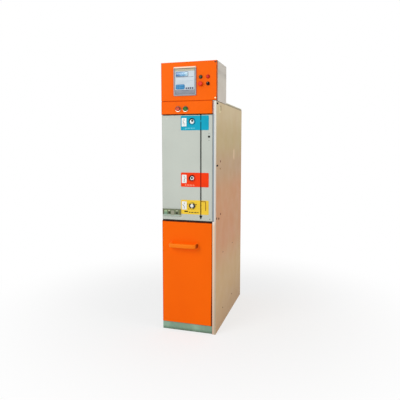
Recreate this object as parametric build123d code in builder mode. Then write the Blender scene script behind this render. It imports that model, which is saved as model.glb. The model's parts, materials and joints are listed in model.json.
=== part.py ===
from build123d import *
import os

# Gas-insulated circuit-breaker cubicle: a folded-sheet cabinet on a channel plinth, with a
# low-voltage box on top, a mimic panel in the middle and a lift-off cable cover below.
# Frame: +X right seen from the front, +Y to the back, +Z up, millimetres. The origin is on the
# floor, in the middle of the rectangle of floor bolts. The fronts look along -Y.

os.makedirs("parts", exist_ok=True)

# ---------------------------------------------------------------- driving dimensions
overall_width = 500
overall_depth = 1100
cabinet_height = 2050
lv_box_height = 335
lv_box_depth = 350

sheet = 2.5  # folded sheet of the cabinet and the low-voltage box
fold_radius = 3
front_return = 25  # depth of the folded edge behind each front
seam_gap = 4  # open joint between two fronts
mimic_gap = 10  # open joint between the cable cover and the mimic panel

# end panel: a tray that closes the right-hand end of the row
end_panel_width = 37  # from the fronts to the overall width
end_gap = 3  # between the fronts and the end panel
end_panel_inset = 3  # end panel's skin, inside the overall width
end_notch_width = 15  # strip of its front flange left open beside the mimic panel
upright_recess = 12
upright_depth = 40
side_return = 25

# plinth of folded channels
plinth_height = 72
plinth_sheet = 4
plinth_flange = 40
plinth_recess = 6
plinth_bend = 6
floor_bolt_margin = 23  # from the end of the channel to the bolt
floor_bolt_inset = 24  # from the plinth's outer face to the bolt
floor_bolt_hole = 14
floor_sheet = 3

# fronts
cover_height = 930  # from the plinth to the cover's top edge
band_height = 112  # mechanism front, below the low-voltage box

# rear and roof
rear_fixing_diameter = 20
rear_fixing_height = 8
rear_fixing_margin = 24  # from the sides of the rear panel
rear_fixing_rise = 68  # lower fixings, above the plinth
rear_fixing_drop = 325  # upper fixings, below the lower panel's top
roof_lid_margin = 3  # from the edges of the roof
roof_lid_gap = 10  # behind the low-voltage box
roof_lid_height = 16

# mimic panel
mimic_sheet = 3
mimic_recess = 8
plate_width = 253
plate_thickness = 1.5
plate_corner_radius = 8
plate_margin = 33  # from the right edge of the fronts
plate_height = 125
teal_plate_drop = 10  # below the top of the mimic panel's field
red_plate_rise = 299  # above the mimic panel's bottom edge
yellow_plate_rise = 57.5
window_width = 44
window_height = 72
window_margin = 9  # from the plate's left edge
window_lift = 7  # above the middle of the plate
yellow_window_lift = 13.5
window_thickness = 3
window_frame_width = 3
window_sink_depth = 1
port_diameter = 56
port_offset = 103  # from the plate's left edge
port_lift = 13  # above the middle of the plate
port_height = 10
port_ring_width = 8
port_floor_height = 4
port_edge_radius = 3
port_gap = 0.3
key_slot_length = 32
key_slot_width = 7
key_slot_depth = 2
mimic_line_margin = 71  # from the plate's right edge
mimic_line_width = 9
mimic_line_thickness = 2.5
arrow_width = 26
arrow_length = 34
arrow_rise = 14  # its tip, above the mimic panel's bottom edge
earth_branch_width = 6
earth_branch_margin = 27  # from the plate's right edge
earth_branch_drop = 6  # below the plate's top
earth_branch_rise = 35  # its end, above the plate's bottom
lock_margin = 31  # from the right edge of the fronts
lock_drop = 56  # below the teal plate
lock_diameter = 18
lock_height = 4
lock_chamfer = 1
lock_slot_width = 3
lock_slot_length = 10
lock_slot_depth = 2

# capacitive voltage indicator
indicator_margin = 4  # from the left side
indicator_gap = 2  # to the label plates
indicator_rise = 35  # above the mimic panel's bottom edge
indicator_height = 58
indicator_depth = 9
indicator_edge_radius = 3

# breaker push buttons in the mechanism front
breaker_button_pitch = 68
breaker_button_offset = 41.5  # pair's middle, left of the middle of the front
breaker_button_drop = 10  # below the middle of the front
breaker_button_diameter = 38
breaker_button_proud_height = 14
breaker_button_length = 44
breaker_button_edge_radius = 3
breaker_bezel_diameter = 50
breaker_bezel_height = 8
breaker_bezel_edge_radius = 3
button_clearance = 0.4

# handle of the lift-off cable cover
handle_bar_height = 38
handle_bar_depth = 26
handle_bar_flat = 1  # strip left flat on the bar's narrower sides, between its rounded edges
handle_bend_radius = 32
handle_length = 264
handle_offset = 25.5  # its middle, left of the middle of the cover
handle_drop = 209  # below the cover's top edge
handle_standoff = 56  # from the cover to the bar's axis

# low-voltage box and its door
lv_lip_width = 18
lv_door_gap = 10  # between the door's back edge and the box
lv_door_bottom_gap = 6
lv_door_top_gap = 1
hinge_axis_inset = 12  # from the door's right edge and from its face
hinge_pin_diameter = 8
hinge_pin_clearance = 0.2
hinge_lug_thickness = 4
hinge_lug_width = 12.5
hinge_lug_radius = 4.5
hinge_lug_inset = 8  # from the door's end to the lug
hinge_slot_gap = 5

# protection relay in the door
relay_width = 202
relay_height = 244
relay_gap = 40  # from its right edge to the first pilot device
relay_proud_height = 8
relay_depth = 110
relay_flange_width = 6
relay_cutout_gap = 1
relay_frame_width = 12
relay_face_depth = 3
relay_corner_radius = 6
relay_key_width = 13
relay_key_corner_radius = 3
relay_key_height = 2
relay_key_pitch = 19
relay_key_margin = 30  # from the relay's right edge
relay_key_rise = 62  # from the relay's bottom edge
relay_key_count = 4

# pilot devices in the door
pilot_margin = 76  # from the door's right edge to the second device
pilot_pitch_width = 64
pilot_pitch_height = 58
pilot_lift = 2  # above the middle of the door
pilot_bezel_diameter = 30
pilot_bezel_height = 4
pilot_bezel_edge_radius = 1.5
pilot_body_diameter = 22
pilot_hole_gap = 0.25
pilot_body_depth = 22
pilot_block_width = 30
pilot_block_depth = 36
lens_diameter = 25
lens_height = 9
lens_edge_radius = 4
mushroom_diameter = 38
mushroom_height = 10
mushroom_edge_radius = 4
mushroom_gap = 6
plunger_diameter = 14
plunger_depth = 12
knob_diameter = 25
knob_base_height = 4
knob_grip_width = 8
knob_grip_height = 14
knob_gap = 0.3
knob_edge_radius = 1.5

# ---------------------------------------------------------------- derived places
left = -overall_width / 2
right = overall_width / 2
front = -overall_depth / 2
rear = overall_depth / 2
top = cabinet_height + lv_box_height
return_back = front + front_return
side_top = cabinet_height - sheet

body_right = right - end_panel_width
body_middle = (left + body_right) / 2
end_panel_left = body_right + end_gap
end_panel_right = right - end_panel_inset
upright_face = front + upright_recess

plinth_front_face = front + plinth_recess
plinth_rear_face = rear - plinth_recess
floor_bolt_x = body_right - floor_bolt_margin
floor_bolt_y = plinth_rear_face - floor_bolt_inset

cover_top = plinth_height + cover_height
mimic_top = cabinet_height - band_height
cover_z = (plinth_height + seam_gap / 2, cover_top)
mimic_z = (cover_top + mimic_gap, mimic_top - seam_gap / 2)
band_z = (mimic_top + seam_gap / 2, cabinet_height)

mimic_face = front + mimic_recess
plate_face = mimic_face - plate_thickness
line_face = mimic_face - mimic_line_thickness
plate_right = body_right - plate_margin
plate_left = plate_right - plate_width
teal_plate_z = (mimic_top - teal_plate_drop - plate_height, mimic_top - teal_plate_drop)
red_plate_z = (mimic_z[0] + red_plate_rise, mimic_z[0] + red_plate_rise + plate_height)
yellow_plate_z = (mimic_z[0] + yellow_plate_rise, mimic_z[0] + yellow_plate_rise + plate_height)
port_x = plate_left + port_offset
window_x = (plate_left + window_margin, plate_left + window_margin + window_width)
line_x = plate_right - mimic_line_margin

breaker_button_middle = body_middle - breaker_button_offset
open_button_x = breaker_button_middle - breaker_button_pitch / 2
close_button_x = breaker_button_middle + breaker_button_pitch / 2
breaker_button_z = (band_z[0] + band_z[1]) / 2 - breaker_button_drop

lv_floor_top = cabinet_height + sheet
lv_roof_bottom = top - sheet
lv_wall_z = (lv_floor_top, lv_roof_bottom)
lv_front = return_back + lv_door_gap
lv_back = front + lv_box_depth
door_bottom = cabinet_height + lv_door_bottom_gap
door_top = top - lv_door_top_gap
door_middle = (door_bottom + door_top) / 2
hinge_x = right - hinge_axis_inset
hinge_y = front + hinge_axis_inset
lower_lug = door_bottom + hinge_lug_inset
upper_lug = door_top - hinge_lug_inset - hinge_lug_thickness

pilot_x = (right - pilot_margin - pilot_pitch_width, right - pilot_margin)
pilot_z = (
    door_middle + pilot_lift - pilot_pitch_height / 2,
    door_middle + pilot_lift + pilot_pitch_height / 2,
)
relay_x = (pilot_x[0] - relay_gap - relay_width, pilot_x[0] - relay_gap)
relay_z = (door_middle - relay_height / 2, door_middle + relay_height / 2)
relay_body_x = (relay_x[0] + relay_flange_width, relay_x[1] - relay_flange_width)
relay_body_z = (relay_z[0] + relay_flange_width, relay_z[1] - relay_flange_width)
relay_face_y = front - relay_proud_height
relay_back = front + relay_depth


# ---------------------------------------------------------------- shapes that repeat
def block(x, y, z, mode=Mode.ADD):
    """A rectangular block between its low and high limits on each axis."""
    with Locations((x[0], y[0], z[0])):
        Box(x[1] - x[0], y[1] - y[0], z[1] - z[0], align=(Align.MIN, Align.MIN, Align.MIN), mode=mode)


def front_plane(y):
    """The plane that faces the front at this depth: its own x is +X and its own y is +Z."""
    return Plane.XZ.offset(-y)


def folded_tray(x, y, z, thickness, skin):
    """A folded sheet tray. Its skin is on the side named, and the side opposite is open."""
    axis = {"x": Axis.X, "y": Axis.Y, "z": Axis.Z}[skin[1]]
    outward = skin[0] == "+"
    hollow = [[low + thickness, high - thickness] for low, high in (x, y, z)]
    place = "xyz".index(skin[1])
    if outward:
        hollow[place][0] -= 2 * thickness
    else:
        hollow[place][1] += 2 * thickness
    with BuildPart() as tray:
        block(x, y, z)
        block(*hollow, mode=Mode.SUBTRACT)
        skin_face = tray.faces().sort_by(axis)[-1 if outward else 0]
        fillet(skin_face.edges(), fold_radius)
    return tray.part


def channel(length):
    """A folded plinth channel along +X, with its web on the XZ plane and its flanges towards +Y."""
    with BuildPart() as piece:
        with BuildSketch(Plane.YZ) as section:
            Rectangle(plinth_flange, plinth_height, align=(Align.MIN, Align.MIN))
            with Locations((plinth_sheet, plinth_sheet)):
                Rectangle(
                    plinth_flange,
                    plinth_height - 2 * plinth_sheet,
                    align=(Align.MIN, Align.MIN),
                    mode=Mode.SUBTRACT,
                )
            fillet(section.vertices().group_by(Axis.X)[0], plinth_bend)
        extrude(amount=length)
    return piece.part


def plate_blank(z):
    """A thin label plate with rounded corners on the mimic panel."""
    with BuildPart() as blank:
        with BuildSketch(front_plane(mimic_face)):
            with Locations(((plate_left + plate_right) / 2, (z[0] + z[1]) / 2)):
                RectangleRounded(plate_width, z[1] - z[0], plate_corner_radius)
        extrude(amount=plate_thickness)
    return blank.part


def label_plate(z):
    """A label plate with the hole that its operating port stands in."""
    with BuildPart() as plate:
        add(plate_blank(z))
        with BuildSketch(front_plane(mimic_face)):
            with Locations((port_x, (z[0] + z[1]) / 2 + port_lift)):
                Circle(port_diameter / 2 + port_gap)
        extrude(amount=plate_thickness, mode=Mode.SUBTRACT)
    return plate.part


def position_window(middle_z):
    """A position window: a low frame on its label plate round a sunk pane."""
    middle = ((window_x[0] + window_x[1]) / 2, middle_z)
    with BuildPart() as frame:
        with BuildSketch(front_plane(plate_face)):
            with Locations(middle):
                RectangleRounded(window_width, window_height, window_frame_width)
        extrude(amount=window_thickness)
        with BuildSketch(front_plane(plate_face - window_thickness)):
            with Locations(middle):
                Rectangle(window_width - 2 * window_frame_width, window_height - 2 * window_frame_width)
        extrude(amount=-window_sink_depth, mode=Mode.SUBTRACT)
    return frame.part


def operating_port(level):
    """A lever port: a round collar on the mimic panel, closed by a slotted shutter disc."""
    centre = (port_x, level)
    with BuildPart() as collar:
        with BuildSketch(front_plane(mimic_face)):
            with Locations(centre):
                Circle(port_diameter / 2)
        extrude(amount=port_height)
        with BuildSketch(front_plane(mimic_face - port_height)):
            with Locations(centre):
                Circle(port_diameter / 2 - port_ring_width)
        extrude(amount=port_floor_height - port_height, mode=Mode.SUBTRACT)
        fillet(collar.edges().filter_by(GeomType.CIRCLE).group_by(Axis.Y)[0], port_edge_radius)
        with BuildSketch(front_plane(mimic_face - port_floor_height)):
            with Locations(centre):
                SlotOverall(key_slot_length, key_slot_width)
        extrude(amount=-key_slot_depth, mode=Mode.SUBTRACT)
    return collar.part


def breaker_bezel(x):
    """The turned ring round a breaker push button."""
    with BuildPart() as ring:
        with BuildSketch(front_plane(front)):
            with Locations((x, breaker_button_z)):
                Circle(breaker_bezel_diameter / 2)
                Circle(breaker_button_diameter / 2 + button_clearance, mode=Mode.SUBTRACT)
        extrude(amount=breaker_bezel_height)
        front_rims = ring.edges().filter_by(GeomType.CIRCLE).group_by(Axis.Y)[0]
        fillet(front_rims.sort_by(SortBy.RADIUS)[-1], breaker_bezel_edge_radius)
    return ring.part


def breaker_button(x):
    """A breaker push button: a plunger that slides through its ring and the mechanism front."""
    with BuildPart() as plunger:
        with BuildSketch(front_plane(front - breaker_button_proud_height)):
            with Locations((x, breaker_button_z)):
                Circle(breaker_button_diameter / 2)
        extrude(amount=-breaker_button_length)
        front_rim = plunger.edges().filter_by(GeomType.CIRCLE).group_by(Axis.Y)[0]
        fillet(front_rim, breaker_button_edge_radius)
    return plunger.part


def pilot_housing(x, z):
    """A pilot device's fixed parts: bezel on the door, round body through it and block behind."""
    with BuildPart() as housing:
        with BuildSketch(front_plane(front)):
            with Locations((x, z)):
                Circle(pilot_bezel_diameter / 2)
        extrude(amount=pilot_bezel_height)
        bezel_rim = housing.edges().filter_by(GeomType.CIRCLE).group_by(Axis.Y)[0]
        fillet(bezel_rim, pilot_bezel_edge_radius)
        with BuildSketch(front_plane(front)):
            with Locations((x, z)):
                Circle(pilot_body_diameter / 2)
        extrude(amount=-pilot_body_depth)
        with BuildSketch(front_plane(front + pilot_body_depth)):
            with Locations((x, z)):
                Rectangle(pilot_block_width, pilot_block_width)
        extrude(amount=-pilot_block_depth)
    return housing.part


def pilot_lamp(x, z):
    """An indicator lamp: a pilot housing with a domed lens."""
    with BuildPart() as lamp:
        add(pilot_housing(x, z))
        with BuildSketch(front_plane(front - pilot_bezel_height)):
            with Locations((x, z)):
                Circle(lens_diameter / 2)
        extrude(amount=lens_height)
        fillet(lamp.edges().filter_by(GeomType.CIRCLE).group_by(Axis.Y)[0], lens_edge_radius)
    return lamp.part


def hinge_lug(lug_bottom, pin_z):
    """One corner hinge: a lug from the box's front lip to the axis, with its pin."""
    with BuildPart() as lug:
        with BuildSketch(Plane.XY.offset(lug_bottom)):
            with Locations((hinge_x, hinge_y)):
                Circle(hinge_lug_radius)
            with Locations((hinge_x + hinge_lug_radius, hinge_y)):
                Rectangle(hinge_lug_width, lv_front - hinge_y, align=(Align.MAX, Align.MIN))
        extrude(amount=hinge_lug_thickness)
        with BuildSketch(Plane.XY.offset(pin_z[0])):
            with Locations((hinge_x, hinge_y)):
                Circle(hinge_pin_diameter / 2)
        extrude(amount=pin_z[1] - pin_z[0])
    return lug.part


pieces = {}

# ---------------------------------------------------------------- plinth and floor
with BuildPart() as plinth_front:
    with Locations((left, plinth_front_face, 0)):
        add(channel(body_right - left))
    for end in ((left, left + plinth_sheet), (body_right - plinth_sheet, body_right)):
        block(end, (plinth_front_face + plinth_bend, plinth_front_face + plinth_flange), (0, plinth_height))
    with BuildSketch():
        with Locations((0, -floor_bolt_y)):
            with GridLocations(2 * floor_bolt_x, 0, 2, 1):
                Circle(floor_bolt_hole / 2)
    extrude(amount=plinth_sheet, mode=Mode.SUBTRACT)
pieces["plinth_front"] = plinth_front

with BuildPart() as plinth_rear:
    add(mirror(plinth_front.part, about=Plane.XZ, mode=Mode.PRIVATE))
pieces["plinth_rear"] = plinth_rear

rail_end = plinth_rear_face - plinth_flange
with BuildPart() as plinth_rails:
    with Locations(
        Location((left, rail_end, 0), (0, 0, -90)),
        Location((body_right, -rail_end, 0), (0, 0, 90)),
    ):
        add(channel(2 * rail_end))
pieces["plinth_rails"] = plinth_rails

with BuildPart() as floor_plate:
    block(
        (left + side_return, body_right),
        (return_back, plinth_rear_face),
        (plinth_height, plinth_height + floor_sheet),
    )
pieces["floor_plate"] = floor_plate

# ---------------------------------------------------------------- cabinet sides, rear and roof
with BuildPart() as left_side_panel:
    block((left, left + side_return), (return_back, rear - sheet), (plinth_height, side_top))
    block(
        (left + sheet, left + side_return + sheet),
        (return_back + sheet, rear - 2 * sheet),
        (plinth_height, side_top),
        mode=Mode.SUBTRACT,
    )
pieces["left_side_panel"] = left_side_panel

with BuildPart() as right_end_panel:
    add(folded_tray((end_panel_left, end_panel_right), (front, rear), (0, cabinet_height), sheet, "+x"))
    block(
        (end_panel_left, end_panel_left + end_notch_width),
        (front, front + sheet),
        (mimic_z[0], side_top),
        mode=Mode.SUBTRACT,
    )
pieces["right_end_panel"] = right_end_panel

with BuildPart() as front_upright:
    block(
        (body_right, end_panel_right - sheet),
        (upright_face, upright_face + upright_depth),
        (plinth_height, side_top),
    )
    block(
        (body_right + sheet, end_panel_right - 2 * sheet),
        (upright_face + sheet, upright_face + upright_depth),
        (plinth_height, side_top),
        mode=Mode.SUBTRACT,
    )
pieces["front_upright"] = front_upright

with BuildPart() as rear_lower_panel:
    block((left, end_panel_left), (rear - sheet, rear), (plinth_height, cover_z[1]))
    with BuildSketch(Plane.XZ.offset(-rear)):
        for level in (plinth_height + rear_fixing_rise, cover_z[1] - rear_fixing_drop):
            with Locations((left + rear_fixing_margin, level), (end_panel_left - rear_fixing_margin, level)):
                Circle(rear_fixing_diameter / 2)
    extrude(amount=-rear_fixing_height)
pieces["rear_lower_panel"] = rear_lower_panel

with BuildPart() as rear_upper_panel:
    block((left, end_panel_left), (rear - sheet, rear), (cover_z[1] + seam_gap, side_top))
pieces["rear_upper_panel"] = rear_upper_panel

with BuildPart() as roof_plate:
    block((left, end_panel_left), (return_back, rear), (side_top, cabinet_height))
pieces["roof_plate"] = roof_plate

with BuildPart() as roof_lid:
    add(
        folded_tray(
            (left + roof_lid_margin, end_panel_right - roof_lid_margin),
            (lv_back + roof_lid_gap, rear - roof_lid_margin),
            (cabinet_height, cabinet_height + roof_lid_height),
            sheet,
            "+z",
        )
    )
pieces["roof_lid"] = roof_lid

# ---------------------------------------------------------------- cable cover and its handle
with BuildPart() as cable_cover:
    add(folded_tray((left, body_right), (front, return_back), cover_z, sheet, "-y"))
pieces["cable_cover"] = cable_cover

handle_level = cover_top - handle_drop
handle_middle = body_middle - handle_offset
leg_offset = (handle_length - handle_bar_depth) / 2
bar_radius = (min(handle_bar_depth, handle_bar_height) - handle_bar_flat) / 2
with BuildPart() as cover_handle:
    with BuildLine(Plane.XY.offset(handle_level)) as handle_line:
        FilletPolyline(
            (handle_middle - leg_offset, front),
            (handle_middle - leg_offset, front - handle_standoff),
            (handle_middle + leg_offset, front - handle_standoff),
            (handle_middle + leg_offset, front),
            radius=handle_bend_radius,
        )
    with BuildSketch(front_plane(front)):
        with Locations((handle_middle - leg_offset, handle_level)):
            RectangleRounded(handle_bar_depth, handle_bar_height, bar_radius)
    sweep(path=handle_line.wire())
pieces["cover_handle"] = cover_handle

# ---------------------------------------------------------------- mimic panel
with BuildPart() as mimic_panel:
    add(folded_tray((left, body_right), (mimic_face, return_back), mimic_z, mimic_sheet, "-y"))
pieces["mimic_panel"] = mimic_panel

plate_heights = {"teal": teal_plate_z, "red": red_plate_z, "yellow": yellow_plate_z}
for colour, plate_z in plate_heights.items():
    with BuildPart() as plate:
        add(label_plate(plate_z))
    pieces[f"{colour}_plate"] = plate
    with BuildPart() as lever_port:
        add(operating_port((plate_z[0] + plate_z[1]) / 2 + port_lift))
    pieces[f"{colour}_port"] = lever_port

with BuildPart() as position_windows:
    for plate_z, lift in (
        (teal_plate_z, window_lift),
        (red_plate_z, window_lift),
        (yellow_plate_z, yellow_window_lift),
    ):
        add(position_window((plate_z[0] + plate_z[1]) / 2 + lift))
pieces["position_windows"] = position_windows

arrow_tip = mimic_z[0] + arrow_rise
arrow_top = arrow_tip + arrow_length
with BuildPart() as mimic_line:
    with BuildSketch(front_plane(mimic_face)):
        with Locations((line_x, arrow_top)):
            Rectangle(mimic_line_width, mimic_z[1] - arrow_top, align=(Align.CENTER, Align.MIN))
        with BuildLine():
            Polyline(
                (line_x, arrow_tip),
                (line_x + arrow_width / 2, arrow_top),
                (line_x - arrow_width / 2, arrow_top),
                close=True,
            )
        make_face()
    extrude(amount=mimic_line_thickness)
    for plate_z in plate_heights.values():
        add(plate_blank(plate_z), mode=Mode.SUBTRACT)
pieces["mimic_line"] = mimic_line

branch_x = plate_right - earth_branch_margin
branch_top = yellow_plate_z[1] - earth_branch_drop
branch_end = yellow_plate_z[0] + earth_branch_rise
with BuildPart() as earth_branch:
    with BuildSketch(front_plane(plate_face)):
        with Locations((line_x + mimic_line_width / 2, branch_top)):
            Rectangle(
                branch_x + earth_branch_width / 2 - line_x - mimic_line_width / 2,
                earth_branch_width,
                align=(Align.MIN, Align.MAX),
            )
        with Locations((branch_x, branch_top)):
            Rectangle(earth_branch_width, branch_top - branch_end, align=(Align.CENTER, Align.MAX))
    extrude(amount=plate_face - line_face)
pieces["earth_branch"] = earth_branch

lock_centre = (body_right - lock_margin, teal_plate_z[0] - lock_drop)
with BuildPart() as panel_lock:
    with BuildSketch(front_plane(mimic_face)):
        with Locations(lock_centre):
            Circle(lock_diameter / 2)
    extrude(amount=lock_height)
    chamfer(panel_lock.edges().filter_by(GeomType.CIRCLE).group_by(Axis.Y)[0], lock_chamfer)
    with BuildSketch(front_plane(mimic_face - lock_height)):
        with Locations(lock_centre):
            Rectangle(lock_slot_width, lock_slot_length)
    extrude(amount=-lock_slot_depth, mode=Mode.SUBTRACT)
pieces["panel_lock"] = panel_lock

indicator_bottom = mimic_z[0] + indicator_rise
with BuildPart() as voltage_indicator:
    block(
        (left + indicator_margin, plate_left - indicator_gap),
        (mimic_face - indicator_depth, mimic_face),
        (indicator_bottom, indicator_bottom + indicator_height),
    )
    fillet(voltage_indicator.faces().sort_by(Axis.Y)[0].edges(), indicator_edge_radius)
pieces["voltage_indicator"] = voltage_indicator

# ---------------------------------------------------------------- mechanism front and breaker buttons
with BuildPart() as mechanism_band:
    add(folded_tray((left, body_right), (front, return_back), band_z, sheet, "-y"))
    with BuildSketch(front_plane(front + sheet)):
        with Locations((open_button_x, breaker_button_z), (close_button_x, breaker_button_z)):
            Circle(breaker_button_diameter / 2 + button_clearance)
    extrude(amount=sheet, mode=Mode.SUBTRACT)
pieces["mechanism_band"] = mechanism_band

with BuildPart() as button_bezels:
    add(breaker_bezel(open_button_x))
    add(breaker_bezel(close_button_x))
pieces["button_bezels"] = button_bezels

with BuildPart() as open_button:
    add(breaker_button(open_button_x))
pieces["open_button"] = open_button

with BuildPart() as close_button:
    add(breaker_button(close_button_x))
pieces["close_button"] = close_button

# ---------------------------------------------------------------- low-voltage box
with BuildPart() as lv_floor:
    block((left, right), (lv_front, lv_back), (cabinet_height, lv_floor_top))
pieces["lv_floor"] = lv_floor

with BuildPart() as lv_roof:
    block((left, right), (lv_front, lv_back), (lv_roof_bottom, top))
pieces["lv_roof"] = lv_roof

with BuildPart() as lv_back_wall:
    block((left, right), (lv_back - sheet, lv_back), lv_wall_z)
pieces["lv_back_wall"] = lv_back_wall

with BuildPart() as lv_left_wall:
    block((left, left + sheet), (lv_front, lv_back - sheet), lv_wall_z)
    block((left, left + lv_lip_width), (lv_front, lv_front + sheet), lv_wall_z)
pieces["lv_left_wall"] = lv_left_wall

with BuildPart() as lv_right_wall:
    block((right - sheet, right), (lv_front, lv_back - sheet), lv_wall_z)
    block((right - lv_lip_width, right), (lv_front, lv_front + sheet), lv_wall_z)
pieces["lv_right_wall"] = lv_right_wall

with BuildPart() as door_hinges:
    add(hinge_lug(lower_lug, (door_bottom, lower_lug)))
    add(hinge_lug(upper_lug, (upper_lug + hinge_lug_thickness, door_top)))
pieces["door_hinges"] = door_hinges

# ---------------------------------------------------------------- low-voltage door and its devices
with BuildPart() as lv_door:
    add(folded_tray((left, right), (front, return_back), (door_bottom, door_top), sheet, "-y"))
    block(
        (relay_body_x[0] - relay_cutout_gap, relay_body_x[1] + relay_cutout_gap),
        (front, front + sheet),
        (relay_body_z[0] - relay_cutout_gap, relay_body_z[1] + relay_cutout_gap),
        mode=Mode.SUBTRACT,
    )
    with BuildSketch(front_plane(front + sheet)):
        with Locations(*[(x, z) for x in pilot_x for z in pilot_z]):
            Circle(pilot_body_diameter / 2 + pilot_hole_gap)
    extrude(amount=sheet, mode=Mode.SUBTRACT)
    with BuildSketch(Plane.XY.offset(door_bottom)):
        with Locations((hinge_x, hinge_y)):
            Circle(hinge_pin_diameter / 2 + hinge_pin_clearance)
    extrude(amount=door_top - door_bottom, mode=Mode.SUBTRACT)
    for lug in (lower_lug, upper_lug):
        block(
            (right - sheet, right),
            (front + sheet, return_back),
            (lug - hinge_slot_gap, lug + hinge_lug_thickness + hinge_slot_gap),
            mode=Mode.SUBTRACT,
        )
pieces["lv_door"] = lv_door

with BuildPart() as relay_case:
    block(relay_body_x, (front, relay_back), relay_body_z)
pieces["relay_case"] = relay_case

relay_middle = ((relay_x[0] + relay_x[1]) / 2, (relay_z[0] + relay_z[1]) / 2)
with BuildPart() as relay_face:
    with BuildSketch(front_plane(front)):
        with Locations(relay_middle):
            RectangleRounded(relay_width, relay_height, relay_corner_radius)
    extrude(amount=relay_proud_height)
    with BuildSketch(front_plane(relay_face_y)):
        with Locations(relay_middle):
            RectangleRounded(
                relay_width - 2 * relay_frame_width,
                relay_height - 2 * relay_frame_width,
                relay_corner_radius / 2,
            )
    extrude(amount=-relay_face_depth, mode=Mode.SUBTRACT)
pieces["relay_face"] = relay_face

key_row_right = relay_x[1] - relay_key_margin
key_row_level = relay_z[0] + relay_key_rise
with BuildPart() as relay_keys:
    with BuildSketch(front_plane(relay_face_y + relay_face_depth)):
        for place in range(relay_key_count):
            with Locations((key_row_right - place * relay_key_pitch, key_row_level)):
                RectangleRounded(relay_key_width, relay_key_width, relay_key_corner_radius)
    extrude(amount=relay_key_height)
pieces["relay_keys"] = relay_keys

with BuildPart() as green_lamp:
    add(pilot_lamp(pilot_x[0], pilot_z[1]))
pieces["green_lamp"] = green_lamp

with BuildPart() as red_lamp:
    add(pilot_lamp(pilot_x[1], pilot_z[1]))
pieces["red_lamp"] = red_lamp

with BuildPart() as mushroom_housing:
    add(pilot_housing(pilot_x[0], pilot_z[0]))
    with BuildSketch(front_plane(front - pilot_bezel_height)):
        with Locations((pilot_x[0], pilot_z[0])):
            Circle(plunger_diameter / 2 + button_clearance)
    extrude(amount=-(plunger_depth + mushroom_gap + pilot_bezel_height), mode=Mode.SUBTRACT)
pieces["mushroom_housing"] = mushroom_housing

head_back = front - pilot_bezel_height - mushroom_gap
with BuildPart() as mushroom_button:
    with BuildSketch(front_plane(head_back)):
        with Locations((pilot_x[0], pilot_z[0])):
            Circle(mushroom_diameter / 2)
    extrude(amount=mushroom_height)
    head_rim = mushroom_button.edges().filter_by(GeomType.CIRCLE).group_by(Axis.Y)[0]
    fillet(head_rim, mushroom_edge_radius)
    with BuildSketch(front_plane(head_back)):
        with Locations((pilot_x[0], pilot_z[0])):
            Circle(plunger_diameter / 2)
    extrude(amount=-(mushroom_gap + plunger_depth))
pieces["mushroom_button"] = mushroom_button

with BuildPart() as selector_housing:
    add(pilot_housing(pilot_x[1], pilot_z[0]))
pieces["selector_housing"] = selector_housing

knob_back = front - pilot_bezel_height - knob_gap
with BuildPart() as selector_knob:
    with BuildSketch(front_plane(knob_back)):
        with Locations((pilot_x[1], pilot_z[0])):
            Circle(knob_diameter / 2)
    extrude(amount=knob_base_height)
    with BuildSketch(front_plane(knob_back - knob_base_height)):
        with Locations((pilot_x[1], pilot_z[0])):
            SlotOverall(knob_diameter - 2 * knob_edge_radius, knob_grip_width, rotation=90)
    extrude(amount=knob_grip_height)
    fillet(selector_knob.faces().sort_by(Axis.Y)[0].edges(), knob_edge_radius)
pieces["selector_knob"] = selector_knob

# ---------------------------------------------------------------- one STEP file per sub-part
for name, piece in pieces.items():
    piece.part.label = name
    export_step(piece.part, f"parts/{name}.step")
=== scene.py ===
import json
import math

import bmesh
import bpy
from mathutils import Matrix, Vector


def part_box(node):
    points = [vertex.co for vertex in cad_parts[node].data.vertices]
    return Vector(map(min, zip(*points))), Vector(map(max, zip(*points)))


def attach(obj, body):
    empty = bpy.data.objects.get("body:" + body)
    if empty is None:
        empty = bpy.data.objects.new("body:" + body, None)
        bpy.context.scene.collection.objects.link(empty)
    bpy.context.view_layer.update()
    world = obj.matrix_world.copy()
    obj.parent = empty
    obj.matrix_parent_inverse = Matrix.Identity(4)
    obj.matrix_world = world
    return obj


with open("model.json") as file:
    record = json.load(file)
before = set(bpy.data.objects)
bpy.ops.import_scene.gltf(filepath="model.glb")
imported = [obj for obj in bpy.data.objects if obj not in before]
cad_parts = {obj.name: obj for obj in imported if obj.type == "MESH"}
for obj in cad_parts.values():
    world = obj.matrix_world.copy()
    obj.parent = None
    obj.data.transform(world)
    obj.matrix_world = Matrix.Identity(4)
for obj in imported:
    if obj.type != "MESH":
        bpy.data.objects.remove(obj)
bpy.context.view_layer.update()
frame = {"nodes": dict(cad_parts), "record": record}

FRONT = Vector((0, -1, 0))
RIGHT = Vector((1, 0, 0))
REAR = Vector((0, 1, 0))
UP = Vector((0, 0, 1))


def middle_of(node):
    """The middle of a node's box."""
    low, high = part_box(node)
    return (low + high) / 2


def face_middle(node, sunk=0.0):
    """The middle of a node's front face, or the place this far behind it."""
    place = middle_of(node)
    place.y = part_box(node)[0].y + sunk
    return place


# ---------------------------------------------------------------- finishes
def ink(red, green, blue):
    """A colour given in steps of 255 as the linear colour that a shader takes."""
    shares = [step / 255 for step in (red, green, blue)]
    linear = [s / 12.92 if s <= 0.04045 else ((s + 0.055) / 1.055) ** 2.4 for s in shares]
    return (*linear, 1)


def toned(colour, share):
    """The same colour, lighter or darker by a share of itself."""
    return (*[min(1, channel * share) for channel in colour[:3]], 1)


def set_sockets(node, values):
    """Sets inputs of a shader node by their names."""
    for socket, value in values.items():
        node.inputs[socket].default_value = value
    return node


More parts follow.
